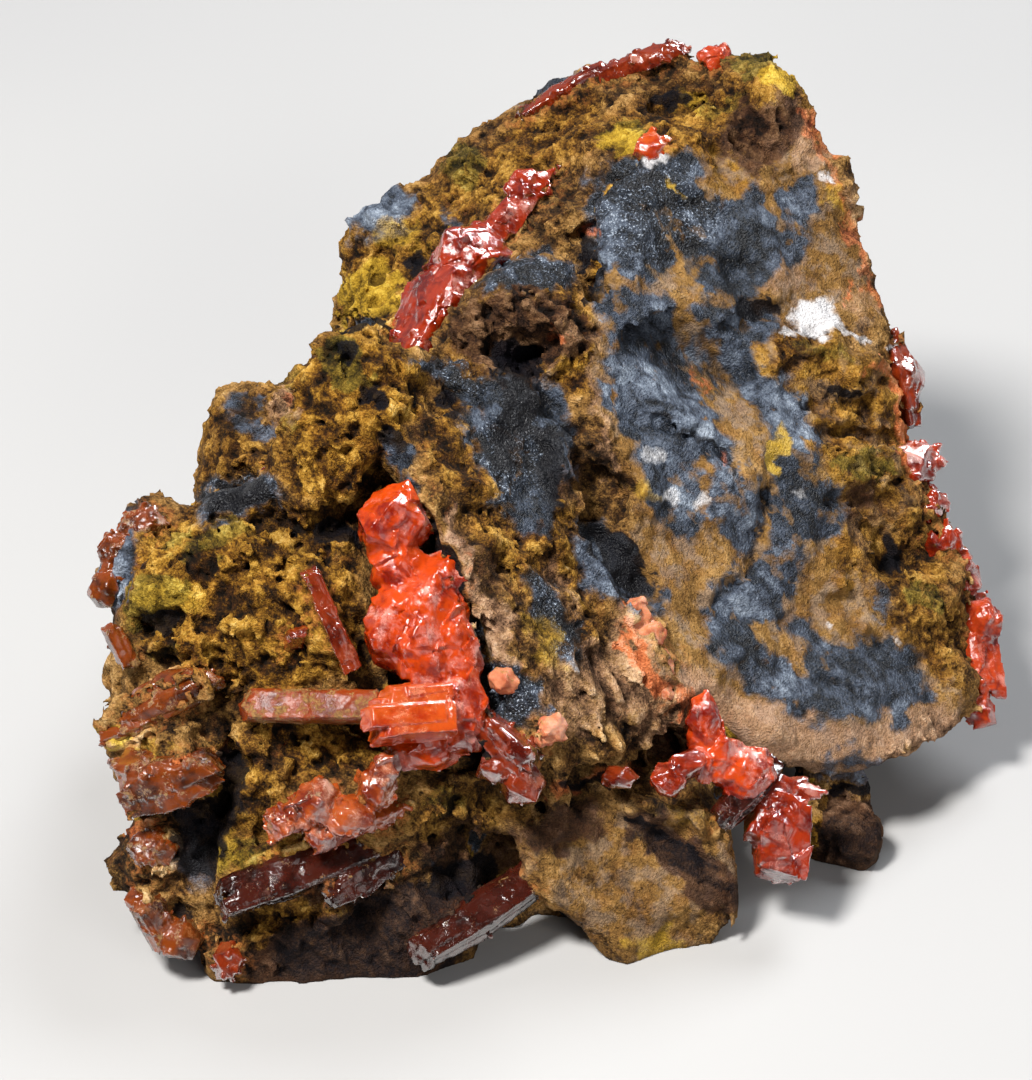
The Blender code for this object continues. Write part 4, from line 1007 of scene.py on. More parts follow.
def line_distance(line):
    """How far each place of a map is from a line, in pixels."""
    nearest = np.full(MAP_SIZE, 1e9)
    for (x0, y0), (x1, y1) in zip(line, line[1:]):
        dx, dy = x1 - x0, y1 - y0
        t = np.clip(((MAP_X - x0) * dx + (MAP_Y - y0) * dy) / (dx * dx + dy * dy + 1e-9), 0, 1)
        nearest = np.minimum(nearest, np.hypot(MAP_X - x0 - t * dx, MAP_Y - y0 - t * dy))
    return nearest


def stroke_map():
    """The height that the strokes add over the layout view, in mm."""
    total = np.zeros(MAP_SIZE, np.float32)
    for height, half, line in STROKES:
        total += height * np.exp(-((line_distance(line) / half) ** 2)).astype(np.float32)
    return total


class Sight:
    """Finds the first surface of some objects behind a point of the layout view."""

    def __init__(self, objects):
        points, faces = mesh_arrays(objects)
        self.tree = BVHTree.FromPolygons([tuple(p) for p in points], [tuple(f) for f in faces.tolist()])
        self.eye = Vector(TARGET - FORWARD * DISTANCE)

    def __call__(self, x, y):
        point = Vector(TARGET + RIGHT * (x - CENTRE[0]) * PIXEL - UP * (y - CENTRE[1]) * PIXEL)
        place, normal, _, _ = self.tree.ray_cast(self.eye, point - self.eye)
        if place is None:
            return None
        facing = -1 if normal.dot(point - self.eye) > 0 else 1
        return np.array(place), np.array(normal) * facing


def depth_map(objects):
    """How far back the first surface lies in the layout view."""
    sight = Sight(objects)
    depth = np.full(MAP_SIZE, FAR, np.float32)
    for i in range(MAP_SIZE[0]):
        for j in range(MAP_SIZE[1]):
            hit = sight(MAP_LOW[0] + i * MAP_STEP, MAP_LOW[1] + j * MAP_STEP)
            if hit is not None:
                depth[i, j] = (hit[0] - TARGET) @ FORWARD
    return depth


class Layout:
    """Reads the maps of the layout view at points in mm. Points that it doesn't reach get less of them."""

    def __init__(self, objects):
        self.maps = {name: drawn(forms) for name, forms in PATCHES.items()}
        self.maps["stroke"] = stroke_map()
        depth = depth_map(objects)
        for _ in range(3):  # carries the depth a little past the outline
            for axis in (0, 1):
                for step in (-1, 1):
                    depth = np.where(depth > FAR / 2, np.roll(depth, step, axis), depth)
        self.depth = depth

    def at(self, points, away=(0, 0)):
        """How much of the layout view a point has, and the maps, read a little away from it."""
        x, y, depth = to_view(points)
        plain = self.read(self.depth, x, y)
        shown = 1 - smooth(*HIDDEN_BEHIND, depth - plain)
        found = {}
        for name, values in self.maps.items():
            sway = STEADY.get(name, 1.0)
            found[name] = self.read(values, x + sway * away[0], y + sway * away[1]) * shown
        return shown, found

    @staticmethod
    def read(values, x, y):
        u = np.clip((x - MAP_LOW[0]) / MAP_STEP, 0, MAP_SIZE[0] - 1.001)
        v = np.clip((y - MAP_LOW[1]) / MAP_STEP, 0, MAP_SIZE[1] - 1.001)
        i, j = u.astype(int), v.astype(int)
        fu, fv = (u - i).astype(np.float32), (v - j).astype(np.float32)
        return (values[i, j] * (1 - fu) * (1 - fv) + values[i + 1, j] * fu * (1 - fv)
                + values[i, j + 1] * (1 - fu) * fv + values[i + 1, j + 1] * fu * fv)


# ------------------------------------------------------------------------------------------------ the rock
class Texture:
    """The blocks of noise that the rock's relief and colours are read from."""

    def __init__(self):
        def voxels(mm):
            return mm / ROCK_STEP

        def even(mm):
            return int(round(voxels(mm) / 2) * 2)

        self.broad = waves(even(20), voxels(4.5), 1)
        self.wide = waves(even(17), voxels(2.3), 2)
        self.middle = waves(even(14.6), voxels(1.1), 3)
        self.fine = waves(even(13.2), voxels(0.5), 4)
        self.pores = waves(even(15.4), voxels(0.62), 5)
        self.lumps = cells(even(15.6), voxels(1.9), 6)
        self.grains = cells(even(13.2), voxels(0.85), 7)
        self.crumbs = cells(even(11.4), voxels(0.42), 8)
        self.plates = cells(even(16.8), voxels(3.0), 9)
        self.flakes = cells(even(14.4), voxels(1.35), 10)


# Where the view doesn't reach, noise lays out these kinds: its shift, its soft step, how much finer noise
# sways it, and how strongly the kind shows.
HIDDEN_PATCHES = [
    ("manganese", 40, 0.5, 0.9, 0.35, 0.95), ("rust_and_painted_shade", 60, 0.6, 1.2, -0.3, 0.8),
    ("yellow", 20, 1.1, 1.6, 0.4, 0.8), ("black_and_painted_shade", 77, 1.3, 1.8, 0.3, 1.0),
]


def zones(points, layout, look, texture):
    """How much of each kind of surface a point has, from 0 to 1."""
    wide, middle = look(texture.wide, 5), look(texture.middle, 9)
    away = (4 * wide + 3 * middle, 4 * look(texture.wide, 31) + 3 * look(texture.middle, 40))
    shown, at = layout.at(points, away)
    broad = look(texture.broad)
    hidden = 1 - shown
    at["sponge"] = at["sponge"] + hidden * smooth(-0.3, 0.5, broad + 0.3 * wide)
    for kind, shift, low, high, sway, strength in HIDDEN_PATCHES:
        there = smooth(low, high, look(texture.broad, shift) + sway * wide)
        at[kind] = at[kind] + hidden * there * strength
    # Earth shows through the coat of oxide along the joints of its plates, and in islands.
    joints = look(texture.flakes["edge"], 3)
    islands = 0.55 * look(texture.wide, 52) + 0.45 * look(texture.middle, 23)
    bare = smooth(0.2, 1.1, islands - 1.4 * (joints - 0.22))
    covered = (1 - 0.62 * bare * (1 - at["solid"])) * (1 - 0.9 * at["vein"])
    at["manganese"] = np.clip(at["manganese"], 0, 1) * covered
    return at


FIBRES = np.array([0.55, -0.75, -0.35])  # the way that the rock's fibres run
FIBRES /= np.linalg.norm(FIBRES)


def relief(points, at, look, texture):
    """How far the rock stands out of its plain shape, in mm."""
    lumps, grains, crumbs = (look(kind["dome"]) for kind in (texture.lumps, texture.grains, texture.crumbs))
    wide, middle, fine = look(texture.wide), look(texture.middle), look(texture.fine)
    pitted = smooth(0.9, 1.7, look(texture.pores)) * smooth(-0.8, 0.6, look(texture.middle, 60))
    cracked = smooth(-0.6, 0.8, look(texture.middle, 19))
    creases = ((1 - smooth(0.0, 0.2, look(texture.lumps["edge"]))) * 0.18
               + (1 - smooth(0.0, 0.28, look(texture.grains["edge"]))) * 0.15)
    crumbly = 0.18 * (crumbs - 0.5) + 0.10 * look(texture.crumbs["facet"]) + 0.06 * fine
    spongy = (0.17 * (lumps - 0.5) + 0.16 * (grains - 0.5) + crumbly + 0.08 * wide - 0.20 * pitted
              - creases * cracked)
    broken = (0.17 * look(texture.plates["facet"]) + 0.11 * look(texture.flakes["facet"]) + 0.05 * middle
              + 0.6 * crumbly - 0.16 * smooth(1.3, 2.0, look(texture.pores, 7)))
    joints = 1 - smooth(0.0, 0.12, look(texture.flakes["edge"], 3))
    coated = (0.08 * look(texture.plates["facet"], 9) + 0.08 * look(texture.flakes["facet"], 3)
              + 0.05 * (look(texture.flakes["dome"], 3) - 0.5) - 0.08 * joints + 0.02 * fine + 0.04 * middle
              + 0.03 * look(texture.crumbs["facet"], 5))
    nodular = np.clip(at["nodular"], 0, 1)
    knobbly = 0.18 * (grains - 0.4) + 0.14 * (crumbs - 0.5) + 0.02 * wide + 0.04 * middle
    coated = (1 - nodular) * coated + nodular * knobbly
    sponge = np.clip(at["sponge"] * (1 - 0.9 * at["manganese"]), 0, 1)
    coat = np.clip(at["manganese"], 0, 1)
    fibre = np.clip(at["fibre"], 0, 1)
    out = sponge * spongy + (1 - sponge) * (coat * coated + (1 - coat) * broken)
    streaks = Look(points - 0.88 * (points @ FIBRES)[:, None] * FIBRES)
    out = (1 - 0.7 * fibre) * out + fibre * (0.14 * streaks(texture.middle) + 0.07 * streaks(texture.fine))
    calm = np.clip(at["calm"], 0, 1)
    out = out * (1 - 0.45 * calm * (1 - nodular))
    return np.minimum(out, HIGHEST) + at["stroke"] * (1 - 0.5 * calm)


def add_form(values, kind, radius, out, spots, texture):
    """Adds a round lump or line to the distances, or cuts it out, with a wavering border."""
    places = np.array([place for place, _ in spots])
    middles = np.array([place + normal * out for place, normal in spots])
    reach = math.sqrt(max(radius**2 - out**2, 0)) + 1.0
    first = np.clip(np.floor((places.min(0) - reach - LOW) / ROCK_STEP).astype(int), 0, None)
    last = np.minimum(np.ceil((places.max(0) + reach - LOW) / ROCK_STEP).astype(int), np.array(SIZE))
    shape = last - first
    if (shape < 2).any():
        return
    grid = np.ix_(*(LOW[axis] + np.arange(first[axis], last[axis]) * ROCK_STEP for axis in range(3)))
    sway = 1.0 if radius < 5 else 0.15  # the wide, shallow hollows waver less
    x, y, z = (places + sway * 0.17 * tiled(texture.wide, first, shape, shift)
               + sway * 0.07 * tiled(texture.middle, first, shape, shift)
               for places, shift in zip(grid, (11, 37, 53)))
    nearest = np.full(shape, 1e9, np.float32)
    for a, b in zip(middles, middles[1:] if len(middles) > 1 else middles):
        step = b - a
        dx, dy, dz = x - a[0], y - a[1], z - a[2]
        t = np.clip((dx * step[0] + dy * step[1] + dz * step[2]) / (step @ step + 1e-9), 0, 1)
        away = (dx - t * step[0]) ** 2 + (dy - t * step[1]) ** 2 + (dz - t * step[2]) ** 2
        np.minimum(nearest, away, out=nearest)
    ball = np.sqrt(nearest) - radius
    part = tuple(slice(a, b) for a, b in zip(first, last))
    side = 1 if kind == "add" else -1
    values[part] = side * blended(side * values[part], ball, BLEND)


def shape_forms(plain, matrix, texture):
    """Gives the rock the lumps and hollows that the layout view shows, and others like them elsewhere."""
    sight = Sight([matrix])
    for kind, radius, out, line in FORMS:
        spots = [spot for spot in (sight(x, y) for x, y in line) if spot is not None]
        if spots:
            add_form(plain, kind, radius, out, spots, texture)
    draw = np.random.default_rng(FORM_SEED)
    points, faces = mesh_arrays([matrix])
    corners = points[faces]
    across = np.cross(corners[:, 1] - corners[:, 0], corners[:, 2] - corners[:, 0])
    sizes = np.linalg.norm(across, axis=1)
    normals = across / sizes[:, None]
    away = normals @ FORWARD > -0.1
    chance = sizes * away * (normals[:, 2] > -0.8)
    for face in draw.choice(len(faces), HIDDEN_FORMS, p=chance / chance.sum()):
        shares = draw.dirichlet((1, 1, 1))
        place = shares @ corners[face]
        radius = draw.uniform(0.7, 1.9)
        if draw.random() < 0.5:
            kind, out = "cut", radius * draw.uniform(0.1, 0.6)
        else:
            kind, out = "add", -radius * draw.uniform(0.4, 0.75)
        add_form(plain, kind, radius, out, [(place, normals[face])], texture)


def grid_points(index):
    """The places in mm of the rock grid's points with these numbers."""
    return LOW + np.stack(np.unravel_index(index, SIZE), 1) * ROCK_STEP


def rock(blocks):
    """The rock's surface around the crystals, and what its colours are worked out from."""
    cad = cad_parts
    crystals = [obj for name, obj in cad.items() if name != "matrix"]
    layout = Layout(list(cad.values()))
    texture = Texture()
    solids = level_of(*mesh_arrays(crystals), BAND)
    matrix = level_of(*mesh_arrays([cad["matrix"]]), BAND)
    plain = np.minimum(matrix, solids + SOCKET)
    whole = plain.copy()
    shape_forms(plain, cad["matrix"], texture)
    plain = level_of(*surface_of(plain, LOW, ROCK_STEP, CLOSING), BAND + CLOSING) + CLOSING
    seated = union_on_rock_grid(blocks)
    index = np.nonzero(np.abs(plain).reshape(-1) < BAND)[0]
    points = grid_points(index)
    look = Look(points)
    at = zones(points, layout, look, texture)
    out = relief(points, at, look, texture)
    near = smooth(0.0, BESIDE, seated.reshape(-1)[index])
    out = np.where(out > 0, out * (LOWERED + (1 - LOWERED) * near), out)
    out *= smooth(0.0, FLAT_EDGE, points[:, 2])
    rough = plain.copy()
    rough.reshape(-1)[index] -= out.astype(np.float32)
    # Crumbs of the rock grow a little way over the crystals, mostly where they leave it.
    index = np.nonzero((np.abs(seated).reshape(-1) < THICKEST) & (matrix.reshape(-1) < BAND))[0]
    points = grid_points(index)
    look = Look(points)
    _, at = layout.at(points)
    away = np.clip(matrix.reshape(-1)[index], -BAND, BAND)
    cover = 0.5 * look(texture.middle, 3) + 0.4 * look(texture.fine, 8) - 1.5 * smooth(0.0, 0.9, away) + 0.2
    cover = cover + 1.6 * at["crust"]
    thick = 0.30 * smooth(0.0, 1.1, cover) * (0.45 + look(texture.crumbs["dome"], 4)) - 0.06
    rough.reshape(-1)[index] = np.minimum(rough.reshape(-1)[index], seated.reshape(-1)[index] - thick)
    np.maximum(rough, -(np.minimum(seated, solids + COVERED) + SEAT), out=rough)
    heights = LOW[2] + np.arange(SIZE[2]) * ROCK_STEP
    np.maximum(rough, -heights[None, None, :].astype(np.float32), out=rough)
    points, faces = surface_of(rough, LOW, ROCK_STEP)
    return points.astype(np.float64), faces[:, ::-1], plain, whole, seated, layout, texture


def largest(points, faces):
    """The largest connected part of a mesh."""
    label = np.arange(len(points))
    edges = np.concatenate([faces[:, [0, 1]], faces[:, [1, 2]]])
    while True:
        lower = np.minimum(label[edges[:, 0]], label[edges[:, 1]])
        if (lower == label[edges[:, 0]]).all() and (lower == label[edges[:, 1]]).all():
            break
        np.minimum.at(label, label[edges[:, 0]], lower)
        np.minimum.at(label, label[edges[:, 1]], lower)
        for _ in range(4):
            label = label[label]
    kept = label[faces[:, 0]] == np.bincount(label).argmax()
    used, index = np.unique(faces[kept], return_inverse=True)
    return points[used], index.reshape(-1, 3)


def lightened(points, faces, most):
    """The mesh with no more than so many triangles."""
    if len(faces) <= most:
        return points, faces
    holder = new_mesh("holder", points, faces)
    modifier = holder.modifiers.new("lighten", "DECIMATE")
    modifier.ratio = most / len(faces)
    mesh = bpy.data.meshes.new_from_object(holder.evaluated_get(bpy.context.evaluated_depsgraph_get()))
    light = bpy.data.objects.new("light", mesh)
    points, faces = mesh_arrays([light])
    bpy.data.objects.remove(holder)
    bpy.data.objects.remove(light)
    return points.astype(np.float64), faces.astype(np.int64)


def rock_pieces(points, faces, plain, whole, seated, layout, texture, material):
    """The rock's surface, cut into pieces that share their borders, with its patches on the vertices."""
    points, faces = lightened(*largest(points, faces), ROCK_TRIANGLES)
    corners = points[faces]
    across = np.cross(corners[:, 1] - corners[:, 0], corners[:, 2] - corners[:, 0])
    normals = np.zeros_like(points)
    for corner in range(3):
        for axis in range(3):
            normals[:, axis] += np.bincount(faces[:, corner], across[:, axis], len(points))
    normals /= np.linalg.norm(normals, axis=1, keepdims=True) + 1e-12
    look = Look(points)
    at = zones(points, layout, look, texture)
    nearest = np.clip(look.index, 0, np.array(SIZE) - 1)
    height = plain[nearest[:, 0], nearest[:, 1], nearest[:, 2]]
    # How far the rock is cut below the CAD surface; the rock material darkens these deep hollows with
    # painted shade.
    painted_recess_shade = smooth(0.6, 1.0, -whole[nearest[:, 0], nearest[:, 1], nearest[:, 2]])
    beside = 1 - smooth(0.05, 0.7, seated[nearest[:, 0], nearest[:, 1], nearest[:, 2]])
    grain = look(texture.crumbs["number"]) * 0.5 + look(texture.grains["number"]) * 0.5
    plate = look(texture.flakes["number"], 3) * 0.6 + look(texture.plates["number"], 9) * 0.4
    one = np.ones(len(points))
    stored = {
        # Its first channel, the height over the plain shape, lightens raised parts and darkens hollows in
        # the rock material: painted light and shade.
        "earth_and_relief_shade": [np.clip(0.5 + 0.8 * height, 0, 1), np.clip(at["sponge"], 0, 1), grain, one],
        "coat": [at["manganese"], at["rust_and_painted_shade"], at["black_and_painted_shade"], one],
        "tint": [at["yellow"], at["white"], at["pink"], one],
        "plate": [plate, smooth(0.0, 0.3, look(texture.flakes["edge"], 3)), at["calm"], one],
        "spark": [at["nodular"], one, one, one],
        "more": [at["green"], at["fibre"], beside, one],
        "extra": [at["orange"], at["pale"], painted_recess_shade, one],
    }
    stored = {name: np.clip(np.stack(parts, 1), 0, 1).astype(np.float32) for name, parts in stored.items()}
    middle = corners.mean(1)[:, 0]
    borders = np.quantile(middle, np.linspace(0, 1, ROCK_PIECES + 1)[1:-1])
    which = np.searchsorted(borders, middle)
    made = []
    for number in range(ROCK_PIECES):
        own = faces[which == number]
        used, index = np.unique(own, return_inverse=True)
        obj = new_mesh(f"rock_{number + 1}", points[used], index.reshape(-1, 3), normals=normals[used])
        for name, values in stored.items():
            attribute = obj.data.attributes.new(name, "FLOAT_COLOR", "POINT")
            attribute.data.foreach_set("color", values[used].reshape(-1))
        obj.data.materials.append(material)
        made.append(obj)
    return made


# ----------------------------------------------------------------------------------------------- materials
class Graph:
    """A material's nodes."""

    def __init__(self, name):
        self.material = bpy.data.materials.new(name)
        self.material.use_nodes = True
        self.tree = self.material.node_tree
        self.tree.nodes.clear()
        self.output = self.tree.nodes.new("ShaderNodeOutputMaterial")
        place = self.add("ShaderNodeTexCoord").outputs["Object"]
        self.place = self.vector("MULTIPLY", place, (1 / MM, 1 / MM, 1 / MM))

    def add(self, kind, inputs=None, **settings):
        node = self.tree.nodes.new(kind)
        for key, value in settings.items():
            setattr(node, key, value)
        for key, value in (inputs or {}).items():
            if isinstance(value, bpy.types.NodeSocket):
                self.tree.links.new(value, node.inputs[key])
            else:
                node.inputs[key].default_value = value
        return node

    def math(self, operation, a, b=0.0, c=0.0, clamp=False):
        inputs = {0: a, 1: b, 2: c}
        return self.add("ShaderNodeMath", inputs, operation=operation, use_clamp=clamp).outputs[0]

    def vector(self, operation, a, b):
        return self.add("ShaderNodeVectorMath", {0: a, 1: b}, operation=operation).outputs[0]

    def sum(self, *terms):
        """The sum of pairs (value, weight)."""
        total = 0.0
        for value, weight in terms:
            total = self.math("MULTIPLY_ADD", value, weight, total)
        return total

    def mix(self, share, a, b, blend="MIX"):
        inputs = {0: share, 6: a, 7: b}
        return self.add("ShaderNodeMix", inputs, data_type="RGBA", blend_type=blend).outputs[2]

    def ramp(self, value, stops):
        node = self.add("ShaderNodeValToRGB", {0: value})
        elements = node.color_ramp.elements
        while len(elements) < len(stops):
            elements.new(0.5)
        for element, (position, color) in zip(elements, stops):
            element.position = position
            element.color = (*color, 1)
        return node.outputs[0]

    def between(self, value, low, high):
        return self.add("ShaderNodeMapRange", {0: value, 1: low, 2: high, 3: 0.0, 4: 1.0},
                        interpolation_type="SMOOTHSTEP").outputs[0]

    def noise(self, scale, detail, rough, offset=None):
        place = self.vector("ADD", self.place, offset) if offset else self.place
        inputs = {"Vector": place, "Scale": scale, "Detail": detail, "Roughness": rough}
        return self.add("ShaderNodeTexNoise", inputs).outputs["Fac"]

    def cell(self, scale):
        return self.add("ShaderNodeTexVoronoi", {"Vector": self.place, "Scale": scale}).outputs["Distance"]

    def attribute(self, name):
        node = self.add("ShaderNodeAttribute", attribute_name=name)
        return self.add("ShaderNodeSeparateColor", {0: node.outputs["Color"]}).outputs

    def swayed(self, amount, scale):
        """The place, pushed about by noise."""
        noise = self.add("ShaderNodeTexNoise", {"Vector": self.place, "Scale": scale, "Detail": 0.0})
        away = self.vector("SUBTRACT", noise.outputs["Color"], (0.5, 0.5, 0.5))
        return self.vector("ADD", self.place, self.vector("MULTIPLY", away, (amount, amount, amount)))

    def bump(self, height, strength, distance):
        inputs = {"Height": height, "Strength": strength, "Distance": distance * MM}
        return self.add("ShaderNodeBump", inputs).outputs[0]

    def done(self, **inputs):
        """Joins the shader up, given its inputs with _ for blanks, and returns the material."""
        named = {name.replace("_", " "): value for name, value in inputs.items()}
        shader = self.add("ShaderNodeBsdfPrincipled", named)
        self.tree.links.new(shader.outputs[0], self.output.inputs["Surface"])
        return self.material


# The rock's colour ramps run over its tone; their near-black low end is reached mostly in the hollows, as
# painted shade.
OCHRE = [(0.0, (0.004, 0.002, 0.0005)), (0.18, (0.026, 0.010, 0.001)), (0.38, (0.125, 0.056, 0.005)),
         (0.58, (0.30, 0.155, 0.018)), (0.80, (0.50, 0.295, 0.060)), (1.0, (0.66, 0.45, 0.15))]
BROWN = [(0.0, (0.004, 0.002, 0.001)), (0.25, (0.044, 0.021, 0.006)), (0.50, (0.20, 0.105, 0.028)),
         (0.78, (0.42, 0.250, 0.090)), (1.0, (0.58, 0.40, 0.20))]
OXIDE = [(0.0, (0.002, 0.0025, 0.004)), (0.25, (0.0115, 0.0165, 0.026)), (0.5, (0.049, 0.063, 0.092)),
         (0.75, (0.134, 0.165, 0.214)), (1.0, (0.31, 0.36, 0.43))]


def rock_material():
    g = Graph("gossan_rock")
    height, sponge, grain = g.attribute("earth_and_relief_shade")[:3]
    oxide, rust_and_painted_shade, black_and_painted_shade = g.attribute("coat")[:3]
    yellow, white, pink = g.attribute("tint")[:3]
    green, _, beside = g.attribute("more")[:3]
    orange, pale, painted_recess_shade = g.attribute("extra")[:3]
    plate, middle_of_plate, calm = g.attribute("plate")[:3]
    nodular = g.attribute("spark")[0]
    middle, wide = g.noise(2.2, 3, 0.6), g.noise(0.55, 3, 0.55)
    fine, grit = (g.math("MULTIPLY_ADD", noise, calmer, 0.5 * (1 - calmer))
                  for noise, calmer in ((g.noise(7.0, 2, 0.65), 0.82), (g.noise(15.0, 1, 0.7), 0.67)))
    g.place = g.swayed(0.096, 3.5)
    crumb = g.math("SUBTRACT", 1.0, g.cell(4.6), clamp=True)
    small = g.math("SUBTRACT", 1.0, g.cell(8.5), clamp=True)
    # The tone is lighter on the rock's raised parts and darker in its hollows, from the height over the
    # plain shape: painted light and shade, with the grain's own noise on top.
    tone = g.sum((height, 1.75), (fine, 0.5), (middle, 0.28), (wide, 0.35), (grain, 0.14), (crumb, 0.15),
                 (small, 0.24), (grit, 0.5))
    tone = g.math("SUBTRACT", tone, 1.60)
    evened = g.math("MULTIPLY", g.math("MULTIPLY", calm, 0.42), g.math("SUBTRACT", 0.70, tone))
    tone = g.math("ADD", tone, evened)
    color = g.mix(sponge, g.ramp(tone, BROWN), g.ramp(tone, OCHRE))
    # Small dark pits over the rock: painted shade of pores.
    painted_pore_shade = g.math("MULTIPLY", g.between(g.noise(5.0, 1, 0.5, offset=(3, 5, 8)), 0.60, 0.68),
                   g.between(g.noise(1.4, 2, 0.5, offset=(9, 2, 4)), 0.38, 0.60))
    color = g.mix(g.math("MULTIPLY", painted_pore_shade, 0.7), color, (0.020, 0.009, 0.003, 1))
    greyish = g.math("MULTIPLY", calm, g.between(g.noise(0.9, 4, 0.6, offset=(1, 8, 6)), 0.47, 0.62))
    color = g.mix(g.math("MULTIPLY", greyish, 0.6), color, g.ramp(tone, [
        (0.1, (0.07, 0.05, 0.04)), (0.8, (0.36, 0.27, 0.20))]))
    redder = g.between(g.noise(0.8, 2, 0.5, offset=(7, 3, 1)), 0.45, 0.7)
    color = g.mix(g.math("MULTIPLY", redder, 0.22), color, (0.26, 0.09, 0.025, 1), "SOFT_LIGHT")

    def edge(mask, low=0.32, high=0.62, grit=0.5):
        """A patch whose border is broken up by the grain of the rock."""
        rough = g.sum((mask, 1.0), (middle, grit), (fine, grit * 0.7))
        return g.between(g.math("SUBTRACT", rough, grit * 0.85), low, high)

    color = g.mix(g.math("MULTIPLY", edge(green), 0.6), color, g.ramp(tone, [
        (0.1, (0.012, 0.012, 0.002)), (0.5, (0.10, 0.088, 0.012)), (0.9, (0.30, 0.26, 0.055))]))
    color = g.mix(g.math("MULTIPLY", edge(pink, 0.2, 0.9, 0.7), 0.66), color, g.ramp(tone, [
        (0.05, (0.09, 0.045, 0.024)), (0.45, (0.34, 0.20, 0.125)), (0.9, (0.60, 0.43, 0.32))]))
    # The rust patches: rust, and painted shade under overhangs and along the bottom front.
    color = g.mix(g.math("MULTIPLY", edge(rust_and_painted_shade, 0.25, 0.7), 0.85), color, g.ramp(tone, [
        (0.1, (0.006, 0.003, 0.002)), (0.5, (0.040, 0.018, 0.013)), (0.9, (0.14, 0.075, 0.055))]))
    dusty = g.math("MULTIPLY", beside, g.between(middle, 0.46, 0.62))
    color = g.mix(g.math("MULTIPLY", dusty, 0.45), color, (0.42, 0.14, 0.035, 1))
    coated = edge(oxide, 0.07, 0.70, 0.4)
    # Bright flecks on the knobbly oxide: painted glints, which also get more gloss.
    painted_glints = g.math("MULTIPLY", nodular, g.between(g.noise(9.0, 2, 0.5, offset=(4, 4, 4)), 0.56, 0.66))
    # The oxide is lighter on raised parts and knob tops and darker in hollows, from the same height:
    # painted light and shade.
    shade = g.sum((height, 0.85), (fine, 0.85), (middle, 0.65), (wide, 0.35), (grit, 0.35), (plate, 0.42),
                  (middle_of_plate, 0.26), (pale, 0.30), (nodular, -0.95),
                  (g.math("MULTIPLY", nodular, height), 1.2), (painted_glints, 0.8))
    color = g.mix(coated, color, g.ramp(g.math("SUBTRACT", shade, 1.57), OXIDE))
    color = g.mix(g.math("MULTIPLY", edge(orange, 0.25, 0.8), 0.75), color, g.ramp(tone, [
        (0.05, (0.20, 0.030, 0.006)), (0.5, (0.58, 0.15, 0.045)), (0.95, (0.78, 0.40, 0.26))]))
    color = g.mix(g.math("MULTIPLY", edge(yellow, 0.25, 0.8), 0.85), color, g.ramp(tone, [
        (0.05, (0.10, 0.055, 0.004)), (0.5, (0.42, 0.26, 0.022)), (0.95, (0.68, 0.50, 0.08))]))
    # The black patches: black oxide, and painted shade in crevices, gaps and undersides.
    color = g.mix(g.math("MULTIPLY", edge(black_and_painted_shade, 0.3, 0.6), 0.95), color, (0.004, 0.004, 0.006, 1))
    color = g.mix(edge(white, 0.30, 0.75, 0.4), color, g.ramp(tone, [
        (0.0, (0.30, 0.30, 0.31)), (0.6, (0.62, 0.61, 0.62))]))
    # Deep hollows darkened towards black: painted shade.
    color = g.mix(g.math("MULTIPLY", painted_recess_shade, 0.4), color, (0.002, 0.0015, 0.001, 1))
    gloss = g.math("MAXIMUM", coated, g.math("MULTIPLY", black_and_painted_shade, 0.8))
    rough = g.sum((gloss, -0.66), (g.math("MULTIPLY", gloss, fine), 0.34))
    rough = g.math("ADD", rough, 0.93, clamp=True)
    strength = g.math("MULTIPLY_ADD", gloss, 0.12, 0.86)
    normal = g.bump(g.sum((fine, 1.05), (small, 0.48), (grit, 0.75)), strength, 0.15)
    shine = g.math("ADD", g.sum((coated, 0.2), (painted_glints, 0.7), (black_and_painted_shade, -0.12)), 0.16, clamp=True)
    return g.done(Base_Color=color, Roughness=rough, Normal=normal, IOR=1.5, Specular_IOR_Level=shine)


